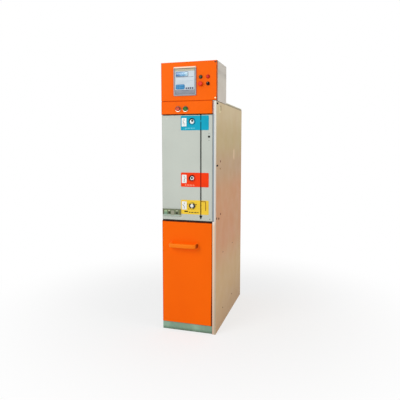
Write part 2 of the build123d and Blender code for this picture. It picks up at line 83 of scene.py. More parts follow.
class Finish:
    """A finish being mixed: one shader, and the patterns that vary it over the piece."""

    def __init__(self, name, colour, roughness, metallic=0.0, coat=0.0, shine=0.5):
        self.material = bpy.data.materials.new(name)
        self.material.use_nodes = True
        self.tree = self.material.node_tree
        sockets = {
            "Base Color": colour,
            "Roughness": roughness,
            "Metallic": metallic,
            "Specular IOR Level": shine,
            "Coat Weight": coat,
            "Coat Roughness": 0.15,
        }
        self.shader = set_sockets(self.tree.nodes["Principled BSDF"], sockets)
        self.place = self.node("ShaderNodeTexCoord").outputs["Object"]
        self.surface = None

    def node(self, kind, **sockets):
        named = {name.replace("_", " "): value for name, value in sockets.items()}
        return set_sockets(self.tree.nodes.new(kind), named)

    def join(self, start, end):
        self.tree.links.new(start, end)

    def pattern(self, kind, output, stretch=(1, 1, 1), **sockets):
        """A pattern on the piece's own coordinates, stretched along them."""
        mapping = self.node("ShaderNodeMapping", Scale=stretch)
        texture = self.node(kind, **sockets)
        self.join(self.place, mapping.inputs["Vector"])
        self.join(mapping.outputs["Vector"], texture.inputs["Vector"])
        return texture.outputs[output]

    def noise(self, scale, detail=2.0, stretch=(1, 1, 1)):
        return self.pattern("ShaderNodeTexNoise", "Fac", stretch, Scale=scale, Detail=detail)

    def along(self, axis):
        parts = self.node("ShaderNodeSeparateXYZ")
        self.join(self.place, parts.inputs["Vector"])
        return parts.outputs[axis]

    def between(self, value, low, high, to_low=0.0, to_high=1.0):
        scaled = self.node(
            "ShaderNodeMapRange", From_Min=low, From_Max=high, To_Min=to_low, To_Max=to_high
        )
        self.join(value, scaled.inputs["Value"])
        return scaled.outputs["Result"]

    def ramp(self, axis, low, high, to_low=0.0, to_high=1.0):
        """A value that changes between two places along an axis of the object."""
        return self.between(self.along(axis), low, high, to_low, to_high)

    def maths(self, operation, first, second):
        maths = self.node("ShaderNodeMath")
        maths.operation = operation
        for socket, value in zip(maths.inputs, (first, second)):
            if isinstance(value, (int, float)):
                socket.default_value = value
            else:
                self.join(value, socket)
        return maths.outputs["Value"]

    def product(self, first, second):
        return self.maths("MULTIPLY", first, second)

    def blended(self, share, first, second):
        """The first colour where the share is 0, and the second where it is 1."""
        mixed = self.node("ShaderNodeMix")
        mixed.data_type = "RGBA"
        colours = [socket for socket in mixed.inputs if socket.type == "RGBA"]
        self.join(share, mixed.inputs["Factor"])
        for socket, colour in zip(colours, (first, second)):
            if isinstance(colour, tuple):
                socket.default_value = colour
            else:
                self.join(colour, socket)
        return next(socket for socket in mixed.outputs if socket.type == "RGBA")

    def banded(self, value, stops, smooth=True):
        """A colour that changes along a value from 0 to 1, at the stops given."""
        ramp = self.node("ShaderNodeValToRGB")
        ramp.color_ramp.interpolation = "EASE" if smooth else "CONSTANT"
        elements = ramp.color_ramp.elements
        while len(elements) > 1:
            elements.remove(elements[-1])
        elements[0].position, elements[0].color = stops[0]
        for position, colour in stops[1:]:
            elements.new(position).color = colour
        self.join(value, ramp.inputs["Fac"])
        return ramp.outputs["Color"]

    def paint(self, colour):
        self.join(colour, self.shader.inputs["Base Color"])

    def gloss(self, value, low, high):
        """Roughness that follows a value from 0 to 1."""
        self.join(self.between(value, 0, 1, low, high), self.shader.inputs["Roughness"])

    def patchy_gloss(self, low, high, scale=90, detail=3.0):
        """Roughness that changes in soft patches."""
        patches = self.between(self.noise(scale, detail), 0.3, 0.7, low, high)
        self.join(patches, self.shader.inputs["Roughness"])

    def moulded_grain(self, low, high, strength=0.12):
        """The soft sheen and fine grain of moulded plastic, between two roughnesses."""
        self.patchy_gloss(low, high)
        return self.emboss(self.noise(500), 0.0003, strength)

    def plated_grain(self):
        """The fine turning marks of plated metal."""
        return self.emboss(self.noise(600), 0.0002, 0.1)

    def emboss(self, height, distance, strength):
        """Raises the surface by a pattern, on top of what is embossed already, and gives the material."""
        relief = self.node("ShaderNodeBump", Strength=strength, Distance=distance)
        self.join(height, relief.inputs["Height"])
        if self.surface is not None:
            self.join(self.surface, relief.inputs["Normal"])
        self.surface = relief.outputs["Normal"]
        self.join(self.surface, self.shader.inputs["Normal"])
        return self.material


def mottled(finish, colour, scale=2.5, spread=0.035):
    """The colour with a slow, cloudy change of tone."""
    cloud = finish.between(finish.noise(scale), 0.35, 0.65)
    return finish.blended(cloud, toned(colour, 1 - spread), toned(colour, 1 + spread))


def coat_sheet(finish, roughness):
    """Powder coat on folded sheet: orange peel, a slight wave of the sheet and uneven gloss."""
    finish.patchy_gloss(roughness - 0.05, roughness + 0.06, 9, 2.0)
    finish.emboss(finish.noise(2.2, 1.0), 0.004, 0.12)
    return finish.emboss(finish.noise(420), 0.0004, 0.16)


def shaded_sides(finish, node, colour, side_shade):
    """The panel's colour, with painted shade in patches along its upright edges."""
    low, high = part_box(node)
    x = finish.along("X")
    left = finish.maths("SUBTRACT", x, low.x)
    right = finish.maths("SUBTRACT", high.x, x)
    edges = finish.between(finish.maths("MINIMUM", left, right), 0.003, 0.006, 1, 0)
    patchy = finish.between(finish.noise(30), 0.3, 0.6, 0.5, 1)
    return finish.blended(finish.product(edges, patchy), mottled(finish, colour), side_shade)


def near_level(finish, level, reach):
    """1 at a level, falling to 0 this far above and below it."""
    away = finish.maths("ABSOLUTE", finish.maths("SUBTRACT", finish.along("Z"), level), 0)
    return finish.between(away, reach * 0.6, reach, 1, 0)


def shaded_joints(finish, body, joints):
    """Painted shade along the joints at the levels given, each with its reach onto the panel and its tone.
    """
    patchy = finish.between(finish.noise(30), 0.3, 0.6, 0.65, 1)
    for level, reach, tone in joints:
        share = finish.product(near_level(finish, level, reach), patchy)
        body = finish.blended(share, body, tone)
    return body


def panel_coat(name, node, colour, side_shade, joints=(), roughness=0.42, shine=0.07):
    """Powder coat on one front panel, with painted shade up its sides and in the joints above or below it.
    """
    finish = Finish(name, colour, roughness, shine=shine)
    finish.paint(shaded_joints(finish, shaded_sides(finish, node, colour, side_shade), joints))
    return coat_sheet(finish, roughness)


def cover_coat(colour, side_shade, joint_shade_tone):
    """The cable cover's coat, with painted shade along its right edge that widens downwards, and in the seam
    above it.
    """
    finish = Finish("cover_orange", colour, 0.42, shine=0.07)
    low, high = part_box("cable_cover")
    body = shaded_sides(finish, "cable_cover", colour, side_shade)
    body = shaded_joints(finish, body, [(high.z, 0.007, joint_shade_tone)])
    # Painted shade in the gap at the right edge: wider and deeper towards the bottom.
    width = finish.ramp("Z", low.z + 0.12, low.z + 0.48, 0.0095, 0.0024)
    gap = finish.maths("SUBTRACT", high.x, finish.along("X"))
    side = finish.between(finish.maths("DIVIDE", gap, width), 0.75, 1.1, 1, 0)
    depth = finish.ramp("Z", low.z + 0.2, high.z, 0.96, 0.45)
    finish.paint(finish.blended(finish.product(side, depth), body, ink(104, 34, 2)))
    return coat_sheet(finish, 0.42)


def plain_coat(name, colour, roughness):
    """Powder coat with nothing but its slow change of tone."""
    finish = Finish(name, colour, roughness, shine=0.1)
    finish.paint(mottled(finish, colour, spread=0.03))
    return coat_sheet(finish, roughness)


def turning_coat(name, colour, second, axis, start, end, roughness, spread=0.035):
    """Powder coat that goes over to a second tone between two places along an axis."""
    finish = Finish(name, colour, roughness, shine=0.1)
    body = mottled(finish, colour, spread=spread)
    finish.paint(finish.blended(finish.ramp(axis, start, end), body, second))
    return coat_sheet(finish, roughness)


def handle_coat():
    """The handle's orange coat, painted lighter than the cover as light from above, with painted shade where
    its right leg turns back to the cover.
    """
    bright, end_shade = ink(255, 126, 14), ink(150, 54, 4)
    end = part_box("cover_handle")[1].x
    return turning_coat("handle_orange", bright, end_shade, "X", end - 0.016, end - 0.004, 0.36, 0.03)


def end_panel_coat():
    """Beige powder coat on the side, with painted warm reflections that make it browner low down; on the
    front flange, painted light, white above and cream below, with painted shade along its outer fold.
    """
    low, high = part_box("right_end_panel")
    finish = Finish("end_panel_coat", ink(200, 180, 146), 0.45, shine=0.1)
    rise = finish.ramp("Z", low.z, high.z)
    # Painted warm reflections down the beige side.
    side_reflection_stops = [
        (0.0, ink(190, 154, 114)), (0.2, ink(204, 168, 120)), (0.4, ink(206, 146, 104)),
        (0.6, ink(206, 146, 102)), (0.72, ink(192, 156, 120)), (0.84, ink(194, 172, 124)),
        (1.0, ink(214, 194, 154)),
    ]
    flange_light_stops = [
        (0.0, ink(216, 190, 168)), (0.3, ink(240, 206, 178)), (0.47, ink(246, 210, 178)),
        (0.51, ink(252, 252, 250)), (1.0, ink(253, 254, 252)),
    ]
    fold_shade_stops = [
        (0.0, ink(186, 174, 148)), (0.47, ink(206, 186, 166)), (0.52, ink(212, 202, 192)),
        (1.0, ink(226, 226, 218)),
    ]
    side = finish.banded(rise, side_reflection_stops)
    cloud = finish.between(finish.noise(3.5, 3.0, (1, 1, 0.5)), 0.35, 0.7, 0, 0.35)
    side = finish.blended(cloud, side, ink(200, 168, 124))
    depth = finish.ramp("Y", low.y + 0.675, low.y + 0.755)
    none, most = (0, 0, 0, 1), (0.85, 0.85, 0.85, 1)
    across = finish.banded(depth, [(0.0, none), (0.5, most), (1.0, none)])
    # A pale patch on the side, painted as a highlight.
    highlight_patch = finish.product(near_level(finish, low.z + 1.585, 0.060), across)
    side = finish.blended(highlight_patch, side, ink(232, 204, 166))
    # Painted shade along the top edge.
    side = shaded_joints(finish, side, [(high.z, 0.008, ink(146, 124, 98))])
    # The front flange: painted front light, and painted shade across its outer fold.
    flange = finish.ramp("Y", low.y + 0.0028, low.y + 0.0022)
    outer = finish.ramp("X", high.x - 0.018, high.x - 0.008)
    face = finish.blended(outer, finish.banded(rise, flange_light_stops), finish.banded(rise, fold_shade_stops))
    finish.paint(finish.blended(flange, side, face))
    return coat_sheet(finish, 0.45)


def lid_coat():
    """Grey-beige coat of the roof lid, with painted shade along the seam at its foot."""
    beige = ink(204, 196, 170)
    finish = Finish("lid_coat", beige, 0.45, shine=0.1)
    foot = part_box("roof_lid")[0].z
    finish.paint(shaded_joints(finish, mottled(finish, beige), [(foot, 0.007, ink(146, 134, 102))]))
    return coat_sheet(finish, 0.45)


def upright_coat():
    """Blue-grey coat on the recessed upright, pale where it stands beside the mechanism band."""
    grey, pale = ink(164, 176, 184), ink(226, 206, 198)
    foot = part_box("mechanism_band")[0].z
    return turning_coat("upright_coat", grey, pale, "Z", foot - 0.006, foot + 0.006, 0.45)


def box_coat():
    """Light warm grey powder coat of the low-voltage box, darker three quarters of the way up."""
    grey = ink(202, 193, 178)
    finish = Finish("box_coat", grey, 0.42, shine=0.22)
    low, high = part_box("lv_right_wall")
    stops = [
        (0.0, ink(203, 193, 181)), (0.6, ink(200, 192, 178)), (0.76, ink(178, 171, 160)),
        (0.84, ink(196, 189, 178)),
    ]
    cloud = finish.between(finish.noise(4), 0.3, 0.7, 0, 0.5)
    finish.paint(finish.blended(cloud, finish.banded(finish.ramp("Z", low.z, high.z), stops), grey))
    return coat_sheet(finish, 0.42)


def plinth_coat():
    """Grey-green paint on the plinth, dull, with painted shade in patches towards the floor."""
    base, floor_shade = ink(140, 174, 152), ink(88, 104, 86)
    finish = Finish("plinth_coat", base, 0.5, shine=0.1)
    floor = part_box("plinth_front")[0].z
    streaks = finish.between(finish.noise(14, 4.0, (1, 1, 0.35)), 0.35, 0.7)
    patchy = finish.between(finish.noise(38, 3.0), 0.25, 0.6, 0.35, 1)
    share = finish.product(finish.ramp("Z", floor, floor + 0.03, 1, 0), patchy)
    worn = finish.blended(streaks, toned(base, 0.88), toned(base, 1.16))
    finish.paint(finish.blended(share, worn, floor_shade))
    return coat_sheet(finish, 0.5)


def zinc_sheet():
    """Galvanised sheet: spangle in two sizes, dull with handling."""
    finish = Finish("zinc_sheet", ink(176, 178, 178), 0.45, metallic=0.75)
    large, small = (
        finish.between(finish.pattern("ShaderNodeTexVoronoi", "Color", Scale=scale), 0.1, 0.9)
        for scale in (85, 210)
    )
    share = finish.maths("ADD", finish.product(large, 0.65), finish.product(small, 0.35))
    tone = finish.blended(share, ink(164, 166, 167), ink(192, 194, 193))
    stain = finish.between(finish.noise(7, 6.0, (1, 1, 0.5)), 0.45, 0.8, 0, 0.5)
    finish.paint(finish.blended(stain, tone, ink(166, 167, 166)))
    finish.gloss(share, 0.38, 0.55)
    finish.emboss(finish.noise(2.2, 1.0), 0.004, 0.12)
    return finish.emboss(share, 0.0002, 0.2)


def label_film(name, colour, shade=0.82):
    """Printed film on a thin plate: even colour, slight cloud, fine grain and faint rub marks."""
    finish = Finish(name, colour, 0.38, shine=0.12)
    rub = finish.between(finish.noise(60, 4.0, (1, 1, 4)), 0.62, 0.75)
    body = mottled(finish, colour, 9, 0.05)
    finish.paint(finish.blended(finish.product(rub, 0.4), body, toned(colour, shade)))
    finish.gloss(rub, 0.34, 0.55)
    return finish.emboss(finish.noise(700), 0.0002, 0.12)


def moulded(name, colour, roughness=0.4, coat=0.0, shine=0.4):
    """Moulded plastic with a fine grain and an uneven sheen."""
    finish = Finish(name, colour, roughness, coat=coat, shine=shine)
    finish.paint(mottled(finish, colour, 40, 0.06))
    return finish.moulded_grain(roughness - 0.06, roughness + 0.08)


def indicator_moulding():
    """The voltage indicator's case: grey-green, with a paler foot."""
    grey = ink(112, 122, 92)
    finish = Finish("indicator_moulding", grey, 0.45, shine=0.2)
    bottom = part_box("voltage_indicator")[0].z
    foot = finish.ramp("Z", bottom + 0.012, bottom + 0.016, 1, 0)
    finish.paint(finish.blended(foot, mottled(finish, grey, 40, 0.06), ink(176, 190, 176)))
    return finish.moulded_grain(0.4, 0.52)


def plated(name, colour, roughness):
    """Plated metal with fine turning marks and a dull bloom."""
    finish = Finish(name, colour, roughness, metallic=1.0)
    bloom = finish.between(finish.noise(70, 4.0), 0.35, 0.7)
    finish.paint(finish.blended(bloom, toned(colour, 1.05), toned(colour, 0.82)))
    finish.gloss(bloom, roughness, roughness + 0.2)
    return finish.plated_grain()


def bezel_plating():
    """The bezels of the two breaker buttons: a painted bright reflection at the foot, going over to painted
    shade in brown towards the top.
    """
    bright, shade_brown = ink(244, 230, 208), ink(84, 32, 8)
    finish = Finish("bezel_plating", bright, 0.25, metallic=0.5, shine=0.2)
    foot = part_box("button_bezels")[0].z
    rise = finish.ramp("Z", foot + 0.006, foot + 0.024)
    bloom = finish.between(finish.noise(70, 4.0), 0.35, 0.7, 0.8, 1)
    finish.paint(finish.blended(finish.product(rise, bloom), bright, shade_brown))
    finish.gloss(rise, 0.2, 0.5)
    return finish.plated_grain()


def relay_moulding():
    """The relay's grey frame, with a painted highlight along its top edge and painted shade in the groove
    under that.
    """
    grey, groove, bright = ink(150, 154, 162), ink(84, 84, 86), ink(254, 224, 196)
    finish = Finish("relay_moulding", grey, 0.4, shine=0.3)
    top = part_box("relay_face")[1].z
    stops = [(0.06, grey), (0.10, groove), (0.37, groove), (0.43, bright)]
    edge = finish.banded(finish.ramp("Z", top - 0.020, top), stops)
    head = finish.ramp("Z", top - 0.0192, top - 0.0188)
    finish.paint(finish.blended(head, mottled(finish, grey, 40, 0.06), edge))
    return finish.moulded_grain(0.34, 0.48)


def port_moulding(node, lit_plate_tone):
    """A lever port's collar: black at its upper left as painted shade, going over to the plate's tone at its
    lower right as painted light.
    """
    black = ink(14, 16, 18)
    finish = Finish(f"{node}_moulding", black, 0.45, shine=0.15)
    centre = middle_of(node)
    aside = finish.maths("SUBTRACT", finish.along("X"), centre.x)
    below = finish.maths("SUBTRACT", centre.z, finish.along("Z"))
    share = finish.between(finish.maths("ADD", aside, below), -0.010, 0.014, 0, 0.88)
    finish.paint(finish.blended(share, mottled(finish, black, 60, 0.1), lit_plate_tone))
    return finish.moulded_grain(0.4, 0.55, 0.1)


def lamp_plastic(node, lens, ring):
    """An indicator lamp: a coloured, polished lens on a darker body."""
    finish = Finish(node, lens, 0.25, shine=0.2)
    lens_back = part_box(node)[0].y + 0.009
    body = finish.ramp("Y", lens_back - 0.0002, lens_back + 0.0002)
    finish.paint(finish.blended(body, mottled(finish, lens, 60, 0.12), ring))
    finish.gloss(body, 0.22, 0.45)
    return finish.emboss(finish.noise(300), 0.0002, 0.08)


def diagram_film():
    """The diagram strip: black, and printed in the plate's own dark tone where it crosses a plate."""
    low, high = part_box("mimic_line")
    black = ink(18, 24, 20)
    finish = Finish("diagram_film", black, 0.45, shine=0.1)

    def share(level):
        return (level - low.z) / (high.z - low.z)

    stops = [(0.0, black)]
    prints = {"yellow_plate": ink(84, 62, 14), "red_plate": ink(150, 26, 8), "teal_plate": ink(4, 92, 106)}
    for node, tone in prints.items():
        bottom, top = (corner.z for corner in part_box(node))
        stops += [(share(bottom), tone), (share(top), black)]
    teal_top = stops.pop()
    middle, half_break = middle_of("teal_port").z, 0.006
    stops += [
        (share(middle - half_break), ink(20, 160, 184)),
        (share(middle + half_break), prints["teal_plate"]),
        teal_top,
    ]
    print_colour = finish.banded(finish.ramp("Z", low.z, high.z), stops, smooth=False)
    worn = finish.between(finish.noise(120, 3.0), 0.6, 0.8, 0, 0.2)
    finish.paint(finish.blended(worn, print_colour, ink(46, 54, 50)))
    finish.patchy_gloss(0.32, 0.5, 50, 2.0)
    return finish.emboss(finish.noise(700), 0.0002, 0.1)


def dress_cad_nodes():
    """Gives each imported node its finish, by its name or by the material slot in the record."""
    # The side and seam tones here are painted shade along the panels' edges and in the gaps between them.
    orange, orange_side_shade = ink(255, 104, 0), ink(188, 78, 8)
    joint_shade = ink(64, 24, 4)
    band_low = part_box("mechanism_band")[0].z
    mimic_joint_shades = [(corner.z, 0.004, joint_shade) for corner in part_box("mimic_panel")]
    light_grey, mimic_side_shade = ink(197, 203, 194), ink(180, 182, 172)
    by_slot = {
        "plinth_paint": plinth_coat(),
        "galvanised_sheet": zinc_sheet(),
        "dark_grey_paint": upright_coat(),
        "cream_paint": box_coat(),
        "teal_film": label_film("teal_film", ink(0, 166, 196)),
        "red_film": label_film("red_film", ink(248, 62, 10)),
        "yellow_film": label_film("yellow_film", ink(246, 206, 62)),
        "black_film": diagram_film(),
        "brown_film": label_film("brown_film", ink(150, 104, 34)),
        "black_plastic": moulded("black_moulding", ink(28, 28, 30), 0.38, coat=0.2),
        "white_plastic": moulded("window_moulding", ink(238, 241, 238), 0.28, coat=0.4),
        "lock_metal": plated("lock_plate", ink(40, 42, 40), 0.3),
        "grey_plastic": indicator_moulding(),
        "bright_ring": bezel_plating(),
        "red_plastic": moulded("red_button", ink(150, 22, 10), shine=0.2),
        "green_plastic": moulded("green_button", ink(24, 70, 14), shine=0.2),
        "orange_red_plastic": moulded("mushroom_red", ink(222, 42, 12), shine=0.2),
        "hinge_zinc": plated("hinge_zinc", ink(196, 196, 190), 0.35),
        "relay_case_metal": plain_coat("relay_case_coat", ink(160, 164, 166), 0.45),
        "relay_grey": relay_moulding(),
        "navy_plastic": moulded("relay_key_rubber", ink(30, 36, 82), 0.5),
    }
    by_node = {
        "right_end_panel": end_panel_coat(),
        "cable_cover": cover_coat(orange, orange_side_shade, joint_shade),
        "cover_handle": handle_coat(),
        "roof_lid": lid_coat(),
        "selector_knob": moulded("selector_black", ink(44, 24, 16), 0.6, shine=0.12),
        "selector_housing": moulded("selector_body_black", ink(50, 26, 16), 0.6, shine=0.12),
        "mechanism_band": panel_coat(
            "band_orange", "mechanism_band", orange, orange_side_shade, [(band_low, 0.0045, joint_shade)]
        ),
        "lv_door": panel_coat("door_orange", "lv_door", orange, orange_side_shade),
        "mimic_panel": panel_coat(
            "mimic_grey", "mimic_panel", light_grey, mimic_side_shade, mimic_joint_shades, 0.38, 0.12
        ),
        "teal_port": port_moulding("teal_port", ink(0, 146, 176)),
        "red_port": port_moulding("red_port", ink(222, 54, 14)),
        "green_lamp": lamp_plastic("green_lamp", ink(58, 64, 34), ink(24, 26, 22)),
        "red_lamp": lamp_plastic("red_lamp", ink(210, 10, 0), ink(120, 20, 8)),
    }
    for row in frame["record"]["subparts"]:
        materials = frame["nodes"][row["node"]].data.materials
        materials.clear()
        materials.append(by_node.get(row["node"]) or by_slot[row["material_slot"]])


# ---------------------------------------------------------------- stage, light and camera
def link_all(tree, links):
    for start, end in links:
        tree.links.new(start, end)


def camera_sees(tree):
    """1 for rays that come from the camera, a mirror or clear glass, and 0 for light on the object."""
    path = tree.nodes.new("ShaderNodeLightPath")
    total = path.outputs["Is Camera Ray"]
    for ray in ("Is Glossy Ray", "Is Transmission Ray"):
        either = tree.nodes.new("ShaderNodeMath")
        either.operation = "MAXIMUM"
        link_all(tree, [(total, either.inputs[0]), (path.outputs[ray], either.inputs[1])])
        total = either.outputs["Value"]
    return total


def white_surroundings():
    """A world that looks white and lights the object at a plain level."""
    white = (1, 1, 1, 1)
    world = bpy.data.worlds.new("studio")
    bpy.context.scene.world = world
    world.use_nodes = True
    tree = world.node_tree
    lit = set_sockets(tree.nodes["Background"], {"Color": white, "Strength": 0.57})
    seen = set_sockets(tree.nodes.new("ShaderNodeBackground"), {"Color": white, "Strength": 1.0})
    either = tree.nodes.new("ShaderNodeMixShader")
    links = [
        (camera_sees(tree), either.inputs["Fac"]),
        (lit.outputs["Background"], either.inputs[1]),
        (seen.outputs["Background"], either.inputs[2]),
        (either.outputs["Shader"], tree.nodes["World Output"].inputs["Surface"]),
    ]
    link_all(tree, links)


def pale_floor():
    """A wide pale floor that takes the object's shadow and fades to white."""
    clear_selection()
    bpy.ops.mesh.primitive_circle_add(vertices=96, radius=30, fill_type="NGON", location=(0, 0, 0))
    floor = bpy.context.object
    floor.name = "floor"
    material = bpy.data.materials.new("floor_white")
    material.use_nodes = True
    tree = material.node_tree
    matt_sockets = {"Base Color": (0.9, 0.9, 0.9, 1), "Roughness": 0.9, "Specular IOR Level": 0.0}
    matt = set_sockets(tree.nodes["Principled BSDF"], matt_sockets)
    white = set_sockets(tree.nodes.new("ShaderNodeEmission"), {"Strength": 1.0})
    place = tree.nodes.new("ShaderNodeTexCoord")
    distance = tree.nodes.new("ShaderNodeVectorMath")
    distance.operation = "LENGTH"
    fade_sockets = {"From Min": 0.7, "From Max": 2.6, "To Min": 0.66}
    fade = set_sockets(tree.nodes.new("ShaderNodeMapRange"), fade_sockets)
    fade.interpolation_type = "SMOOTHSTEP"
    share = tree.nodes.new("ShaderNodeMath")
    share.operation = "MULTIPLY"
    either = tree.nodes.new("ShaderNodeMixShader")
    links = [
        (place.outputs["Object"], distance.inputs[0]),
        (distance.outputs["Value"], fade.inputs["Value"]),
        (fade.outputs["Result"], share.inputs[0]),
        (camera_sees(tree), share.inputs[1]),
        (share.outputs["Value"], either.inputs["Fac"]),
        (matt.outputs["BSDF"], either.inputs[1]),
        (white.outputs["Emission"], either.inputs[2]),
        (either.outputs["Shader"], tree.nodes["Material Output"].inputs["Surface"]),
    ]
    link_all(tree, links)
    floor.data.materials.append(material)


def soft_lamp(name, place, target, size, power):
    """A large square lamp that looks from its place to its target."""
    lamp = bpy.data.lights.new(name, "AREA")
    lamp.shape = "SQUARE"
    lamp.size = size
    lamp.energy = power
    holder = bpy.data.objects.new(name, lamp)
    holder.location = place
    holder.rotation_euler = (Vector(target) - Vector(place)).to_track_quat("-Z", "Y").to_euler()
    bpy.context.scene.collection.objects.link(holder)


def studio_lamps():
    """A key lamp in front on the left, and a weaker one on the right."""
    soft_lamp("front_lamp", (-2.4, -4.6, 3.6), (0, -0.5, 1.2), 3.0, 110)
    soft_lamp("side_lamp", (4.2, -1.2, 3.2), (0.2, 0, 1.2), 2.6, 45)


def studio_camera():
    """A camera at eye height, in front and a little to the right, looking slightly down."""
    eye_height, tilt_down, turn_left = 1.669, 5.319, 16.646
    camera = bpy.data.cameras.new("camera")
    camera.sensor_width = 36.0
    camera.lens = 38.836
    camera.shift_y = -0.035
    holder = bpy.data.objects.new("camera", camera)
    holder.location = (1.1715, -4.1215, eye_height)
    holder.rotation_euler = (math.radians(90 - tilt_down), 0, math.radians(turn_left))
    bpy.context.scene.collection.objects.link(holder)
    bpy.context.scene.camera = holder


# ---------------------------------------------------------------- modelling by hand
def clear_selection():
    if bpy.context.mode != "OBJECT":
        bpy.ops.object.mode_set(mode="OBJECT")
    bpy.ops.object.select_all(action="DESELECT")


def pick(piece):
    """Makes one piece the only one selected, and the active one."""
    clear_selection()
    piece.select_set(True)
    bpy.context.view_layer.objects.active = piece


def settle(piece, smooth=40):
    """Leaves a piece at the origin, unturned and unscaled, and smooths its shallow edges."""
    pick(piece)
    bpy.ops.object.transform_apply(location=True, rotation=True, scale=True)
    bpy.ops.object.shade_smooth_by_angle(angle=math.radians(smooth))
    return piece


def bevel_where(piece, chosen, width, segments):
    """Bevels the edges that a test picks by their middle and their direction."""
    pick(piece)
    bpy.ops.object.mode_set(mode="EDIT")
    bpy.ops.mesh.select_mode(type="EDGE")
    bpy.ops.mesh.select_all(action="DESELECT")
    mesh = bmesh.from_edit_mesh(piece.data)
    for edge in mesh.edges:
        start, end = (vertex.co for vertex in edge.verts)
        edge.select_set(chosen((start + end) / 2, (end - start).normalized()))
    bmesh.update_edit_mesh(piece.data)
    bpy.ops.mesh.bevel(offset=width, offset_type="OFFSET", segments=segments, affect="EDGES")
    bpy.ops.object.mode_set(mode="OBJECT")


def slab(name, low, high, corner=0.0, rim=0.0, out=FRONT):
    """A flat piece between two corners, with its corners rounded and the rim of its outer face eased."""
    low, high = Vector(low), Vector(high)
    clear_selection()
    bpy.ops.mesh.primitive_cube_add(size=1, location=(low + high) / 2, scale=high - low)
    piece = bpy.context.object
    piece.name = name
    bpy.ops.object.transform_apply(location=True, rotation=True, scale=True)
    if corner:
        bevel_where(piece, lambda middle, way: abs(way.dot(out)) > 0.99, corner, 3)
    if rim:
        face = max(low.dot(out), high.dot(out))
        bevel_where(piece, lambda middle, way: middle.dot(out) > face - 1e-5, rim, 2)
    return settle(piece)


def turned(name, profile, base, steps=24, out=FRONT):
    """A turned piece: its profile of radius and height, spun about an axis that stands on its base."""
    base = Vector(base)
    across = RIGHT if abs(out.z) > 0.5 else UP
    points = [base + across * radius + out * height for radius, height in profile]
    clear_selection()
    bpy.ops.mesh.primitive_plane_add(size=0.001, location=points[0])
    piece = bpy.context.object
    piece.name = name
    bpy.ops.object.mode_set(mode="EDIT")
    bpy.ops.mesh.select_mode(type="VERT")
    bpy.ops.mesh.select_all(action="SELECT")
    bpy.ops.mesh.merge(type="CENTER")
    for start, end in zip(points, points[1:]):
        bpy.ops.mesh.extrude_vertices_move(TRANSFORM_OT_translate={"value": end - start})
    bpy.ops.mesh.select_all(action="SELECT")
    bpy.ops.mesh.spin(steps=steps, angle=2 * math.pi, center=base, axis=out)
    bpy.ops.mesh.select_all(action="SELECT")
    bpy.ops.mesh.remove_doubles(threshold=1e-6)
    bpy.ops.mesh.normals_make_consistent(inside=False)
    bpy.ops.object.mode_set(mode="OBJECT")
    return settle(piece, 35)


def finished(piece, finish, body="cubicle"):
    """Gives a piece its finish and the body that it moves with."""
    piece.data.materials.clear()
    piece.data.materials.append(finish)
    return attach(piece, body)


def laid(name, low, high, finish, slot, body="cubicle", **edges):
    """A finished slab."""
    return finished(slab(name, low, high, **edges), finish, body)


def spun(name, profile, base, finish, slot, body="cubicle", **turning):
    """A finished turned piece."""
    return finished(turned(name, profile, base, **turning), finish, body)


def joined(name, parts, finish, body="cubicle"):
    """Several parts as one finished piece."""
    clear_selection()
    for part in parts:
        part.select_set(True)
    bpy.context.view_layer.objects.active = parts[0]
    if len(parts) > 1:
        bpy.ops.object.join()
    parts[0].name = name
    return finished(settle(parts[0], 35), finish, body)


def repeated(name, part, places, finish, body="cubicle"):
    """A part at each of several places, given as steps from where it was modelled, as one finished piece."""
    parts = [part]
    for step in places:
        if Vector(step).length < 1e-9:
            continue
        pick(part)
        bpy.ops.object.duplicate(linked=False)
        bpy.ops.transform.translate(value=step)
        parts.append(bpy.context.object)
    return joined(name, parts, finish, body)


# ---------------------------------------------------------------- small parts that repeat
def pan_screw(name, base, head=0.009, out=FRONT):
    """A pan-head screw: a domed head with a round driver recess."""
    profile = [
        (0, 0.0008), (head * 0.14, 0.0008), (head * 0.18, head * 0.26), (head * 0.34, head * 0.23),
        (head * 0.46, head * 0.12), (head * 0.5, 0.0002), (head * 0.5, 0), (0, 0),
    ]
    return turned(name, profile, base, 16, out)


def hole_plug(name, base, width, height=0.0028):
    """A push-in plastic plug in the right side: a flange with a steep edge and a shallow dish in it."""
    profile = [
        (0, height * 0.5), (width * 0.28, height * 0.55), (width * 0.36, height),
        (width * 0.46, height * 0.9), (width * 0.5, height * 0.5), (width * 0.5, 0), (0, 0),
    ]
    return turned(name, profile, base, 20, RIGHT)


# ---------------------------------------------------------------- low-voltage door
RELAY_FRAME = 0.012
RELAY_RECESS = 0.003
RELAY_FILM = 0.0006


def relay_field():
    """The low and high corners of the relay's sunk field, on its floor."""
    low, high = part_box("relay_face")
    floor = low.y + RELAY_RECESS
    inner_low = Vector((low.x + RELAY_FRAME, floor, low.z + RELAY_FRAME))
    return inner_low, Vector((high.x - RELAY_FRAME, floor, high.z - RELAY_FRAME))


def on_relay(name, low, high, finish, slot="relay_grey", **edges):
    """A finished slab on the relay, which rides on the door."""
    laid(name, low, high, finish, slot, "lv_door", **edges)


